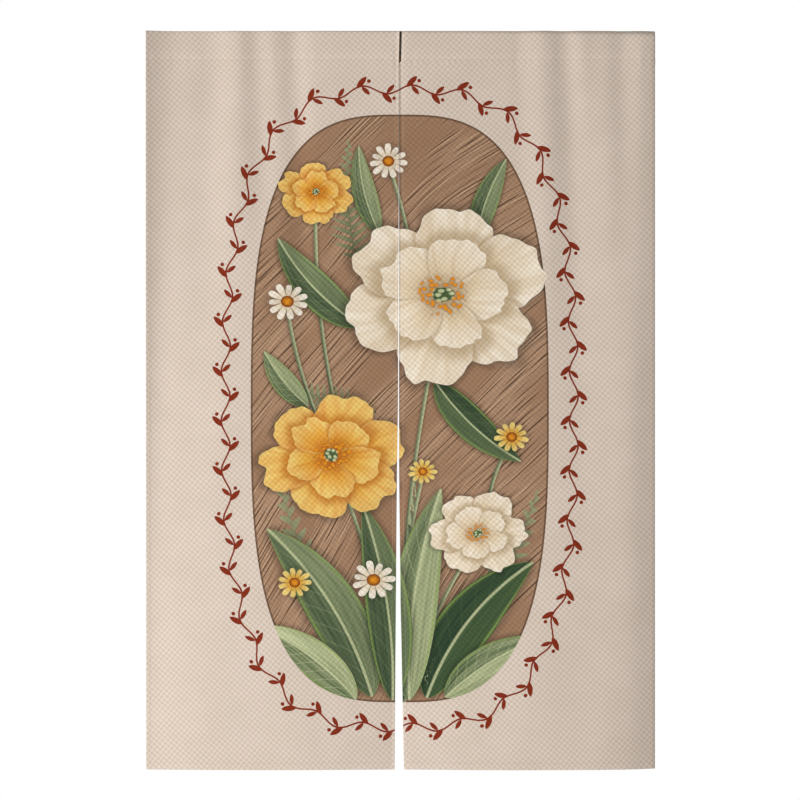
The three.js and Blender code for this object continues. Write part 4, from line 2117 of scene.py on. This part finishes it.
@dataclass(frozen=True)
class Lamp:
    """A square area lamp that faces the curtain, placed from its middle, in metres and watts."""

    name: str
    away: tuple[float, float, float]
    size: float
    power: float

    def hang(self, middle: Vector) -> None:
        """Add the lamp to the scene.

        Args:
            middle: The curtain's middle.
        """
        data = bpy.data.lights.new(self.name, "AREA")
        data.shape = "SQUARE"
        data.size = self.size
        data.energy = self.power
        away = Vector(self.away)
        lamp = add_object(self.name, data)
        lamp.location = middle + away
        lamp.rotation_euler = (-away).to_track_quat("-Z", "Y").to_euler()


LAMPS = (
    Lamp("key", (-4.18, -1.4, -0.24), 1.2, 109.0),
    Lamp("front", (-0.42, -2.25, -0.52), 0.9, 15.8),
)


@dataclass
class Studio:
    """The camera, the soft light and the pale floor, in metres, round the curtain's middle."""

    middle: Vector
    frame_width: float = 1.299
    lens_mm: float = 135.0
    sensor_mm: float = 36.0
    fill: float = 0.46
    floor_z: float = -2.0
    floor_size: float = 9.6

    def camera(self) -> None:
        """Set a long lens square to the curtain, at the photograph's framing."""
        data = bpy.data.cameras.new("camera")
        data.lens = self.lens_mm
        data.sensor_width = self.sensor_mm
        data.dof.use_dof = False
        distance = self.frame_width * self.lens_mm / self.sensor_mm
        camera = add_object("camera", data)
        camera.location = self.middle + Vector((0, -distance, 0))
        camera.rotation_euler = (math.pi / 2, 0, 0)
        bpy.context.scene.camera = camera

    def light(self) -> None:
        """Hang a broad soft key on the left, a weak lamp in front and fill from all round."""
        scene = bpy.context.scene
        scene.view_settings.view_transform = "Standard"
        world = bpy.data.worlds.new("studio")
        scene.world = world
        world.use_nodes = True
        s = Sketch(world.node_tree)
        fill = world.node_tree.nodes["Background"]
        fill.inputs["Color"].default_value = (1.0, 0.99, 0.98, 1.0)
        fill.inputs["Strength"].default_value = self.fill
        white = s.made("ShaderNodeBackground", {"Color": (1.0, 1.0, 1.0, 1.0), "Strength": 1.0})
        seen = Value(s, s.node("ShaderNodeLightPath").outputs["Is Camera Ray"])
        mixed = s.made("ShaderNodeMixShader", {0: seen, 1: Value(s, fill.outputs[0]), 2: white})
        s.feed(world.node_tree.nodes["World Output"].inputs[0], mixed)
        for lamp in LAMPS:
            lamp.hang(self.middle)

    def floor(self) -> None:
        """Lay a pale floor below the curtain."""
        half = self.floor_size / 2
        corners = [(-half, -half, self.floor_z), (half, -half, self.floor_z)]
        corners += [(half, half, self.floor_z), (-half, half, self.floor_z)]
        mesh = bpy.data.meshes.new("floor")
        mesh.from_pydata(corners, [], [(0, 1, 2, 3)])
        s = MaterialSketch("floor")
        cloudy = s.blend(s.noise(s.object_place(), 2.0, 2.0), ink(226, 224, 221), ink(236, 235, 233))
        mesh.materials.append(s.finish(Base_Color=cloudy, Roughness=0.8))
        floor = add_object("floor", mesh)


@dataclass
class Curtain:
    """The whole curtain: two panels, the heading strip and their stitching."""

    hang: Hang
    layout: PrintLayout
    inks: Inks
    panels: list[Panel] = field(default_factory=list)

    def build(self) -> None:
        """Make every piece, dress it and fix it to the curtain's body."""
        box = PaintBox(self.inks, self.layout)
        front = ClothFinish("printed_cloth", 1.0).make(box)
        reverse = ClothFinish("cloth_reverse", 0.3).make(box)
        plain = ClothFinish("plain_cloth", 0.0).make(box)
        thread = ThreadFinish("thread", ink(214, 198, 183), ink(196, 179, 163)).make()
        # The sleeve's inside takes a band of painted shade behind the slot.
        behind_slot = self.hang.parting_x + self.hang.slot_extra / 2 - self.hang.left_edge
        inside = ClothFinish("sleeve_inside", 0.0, painted_shade_at=behind_slot).make(box)
        heading = Heading(self.hang)
        heading_piece = heading.build((plain, inside))
        for side in Side:
            panel = Panel(side, self.hang)
            piece = panel.build(self.layout, (front, reverse))
            stitches = Stitching(f"stitches_{side.name.lower()}").build(panel.stitch_rows(), thread)
            self._fix(piece, panel.name, "panel_cloth")
            self._fix(stitches, None, "panel_cloth")
            self.flat_panel(panel)
            self.panels.append(panel)
        stitches = Stitching("stitches_heading").build(heading.stitch_rows(), thread)
        self._fix(heading_piece, heading.name, "heading_cloth")
        self._fix(stitches, None, "heading_cloth")

    @staticmethod
    def flat_panel(panel: Panel) -> tuple[float, float]:
        """Work out the size that a panel was cut to: its flat face and what its hems take.

        Args:
            panel: The panel.

        Returns:
            Width and length, in metres.
        """
        width = run_length(panel.sheet.front[panel.width_row])
        length = float(panel.sheet.cloth[-1, 0, 1])
        return width + 2 * panel.side_hem, length + panel.foot_hem

    @staticmethod
    def flat_heading(heading: Heading) -> tuple[float, float]:
        """Work out the width and length, in metres, that the heading strip was cut to."""
        return run_length(heading.sheet.front[-1]), float(heading.sheet.cloth[-1, 0, 1])

    @staticmethod
    def _fix(piece: bpy.types.Object, node: str | None, slot: str) -> None:
        """Fix a piece to the curtain's body and hide the CAD node that it stands for.

        Args:
            piece: The piece.
            node: The CAD node that it stands for, if any.
            slot: The record's material slot; not used.
        """
        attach(piece, BODY)
        if node:
            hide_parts(node)
        log.info("%s: %d faces", piece.name, len(piece.data.polygons))


def main() -> None:
    """Build the curtain and its studio in order."""
    logging.basicConfig(level=logging.INFO, format="%(message)s")
    left_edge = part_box("panel_left")[0][0]
    right_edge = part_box("panel_right")[1][0]
    drop = -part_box("panel_left")[0][2]
    hang = Hang(left_edge, right_edge, drop)
    Curtain(hang, PrintLayout(), Inks()).build()
    studio = Studio(Vector((VIEW_X, -hang.sleeve_depth / 2, VIEW_Z)))
    studio.camera()
    studio.light()
    studio.floor()


if __name__ == "__main__":
    main()
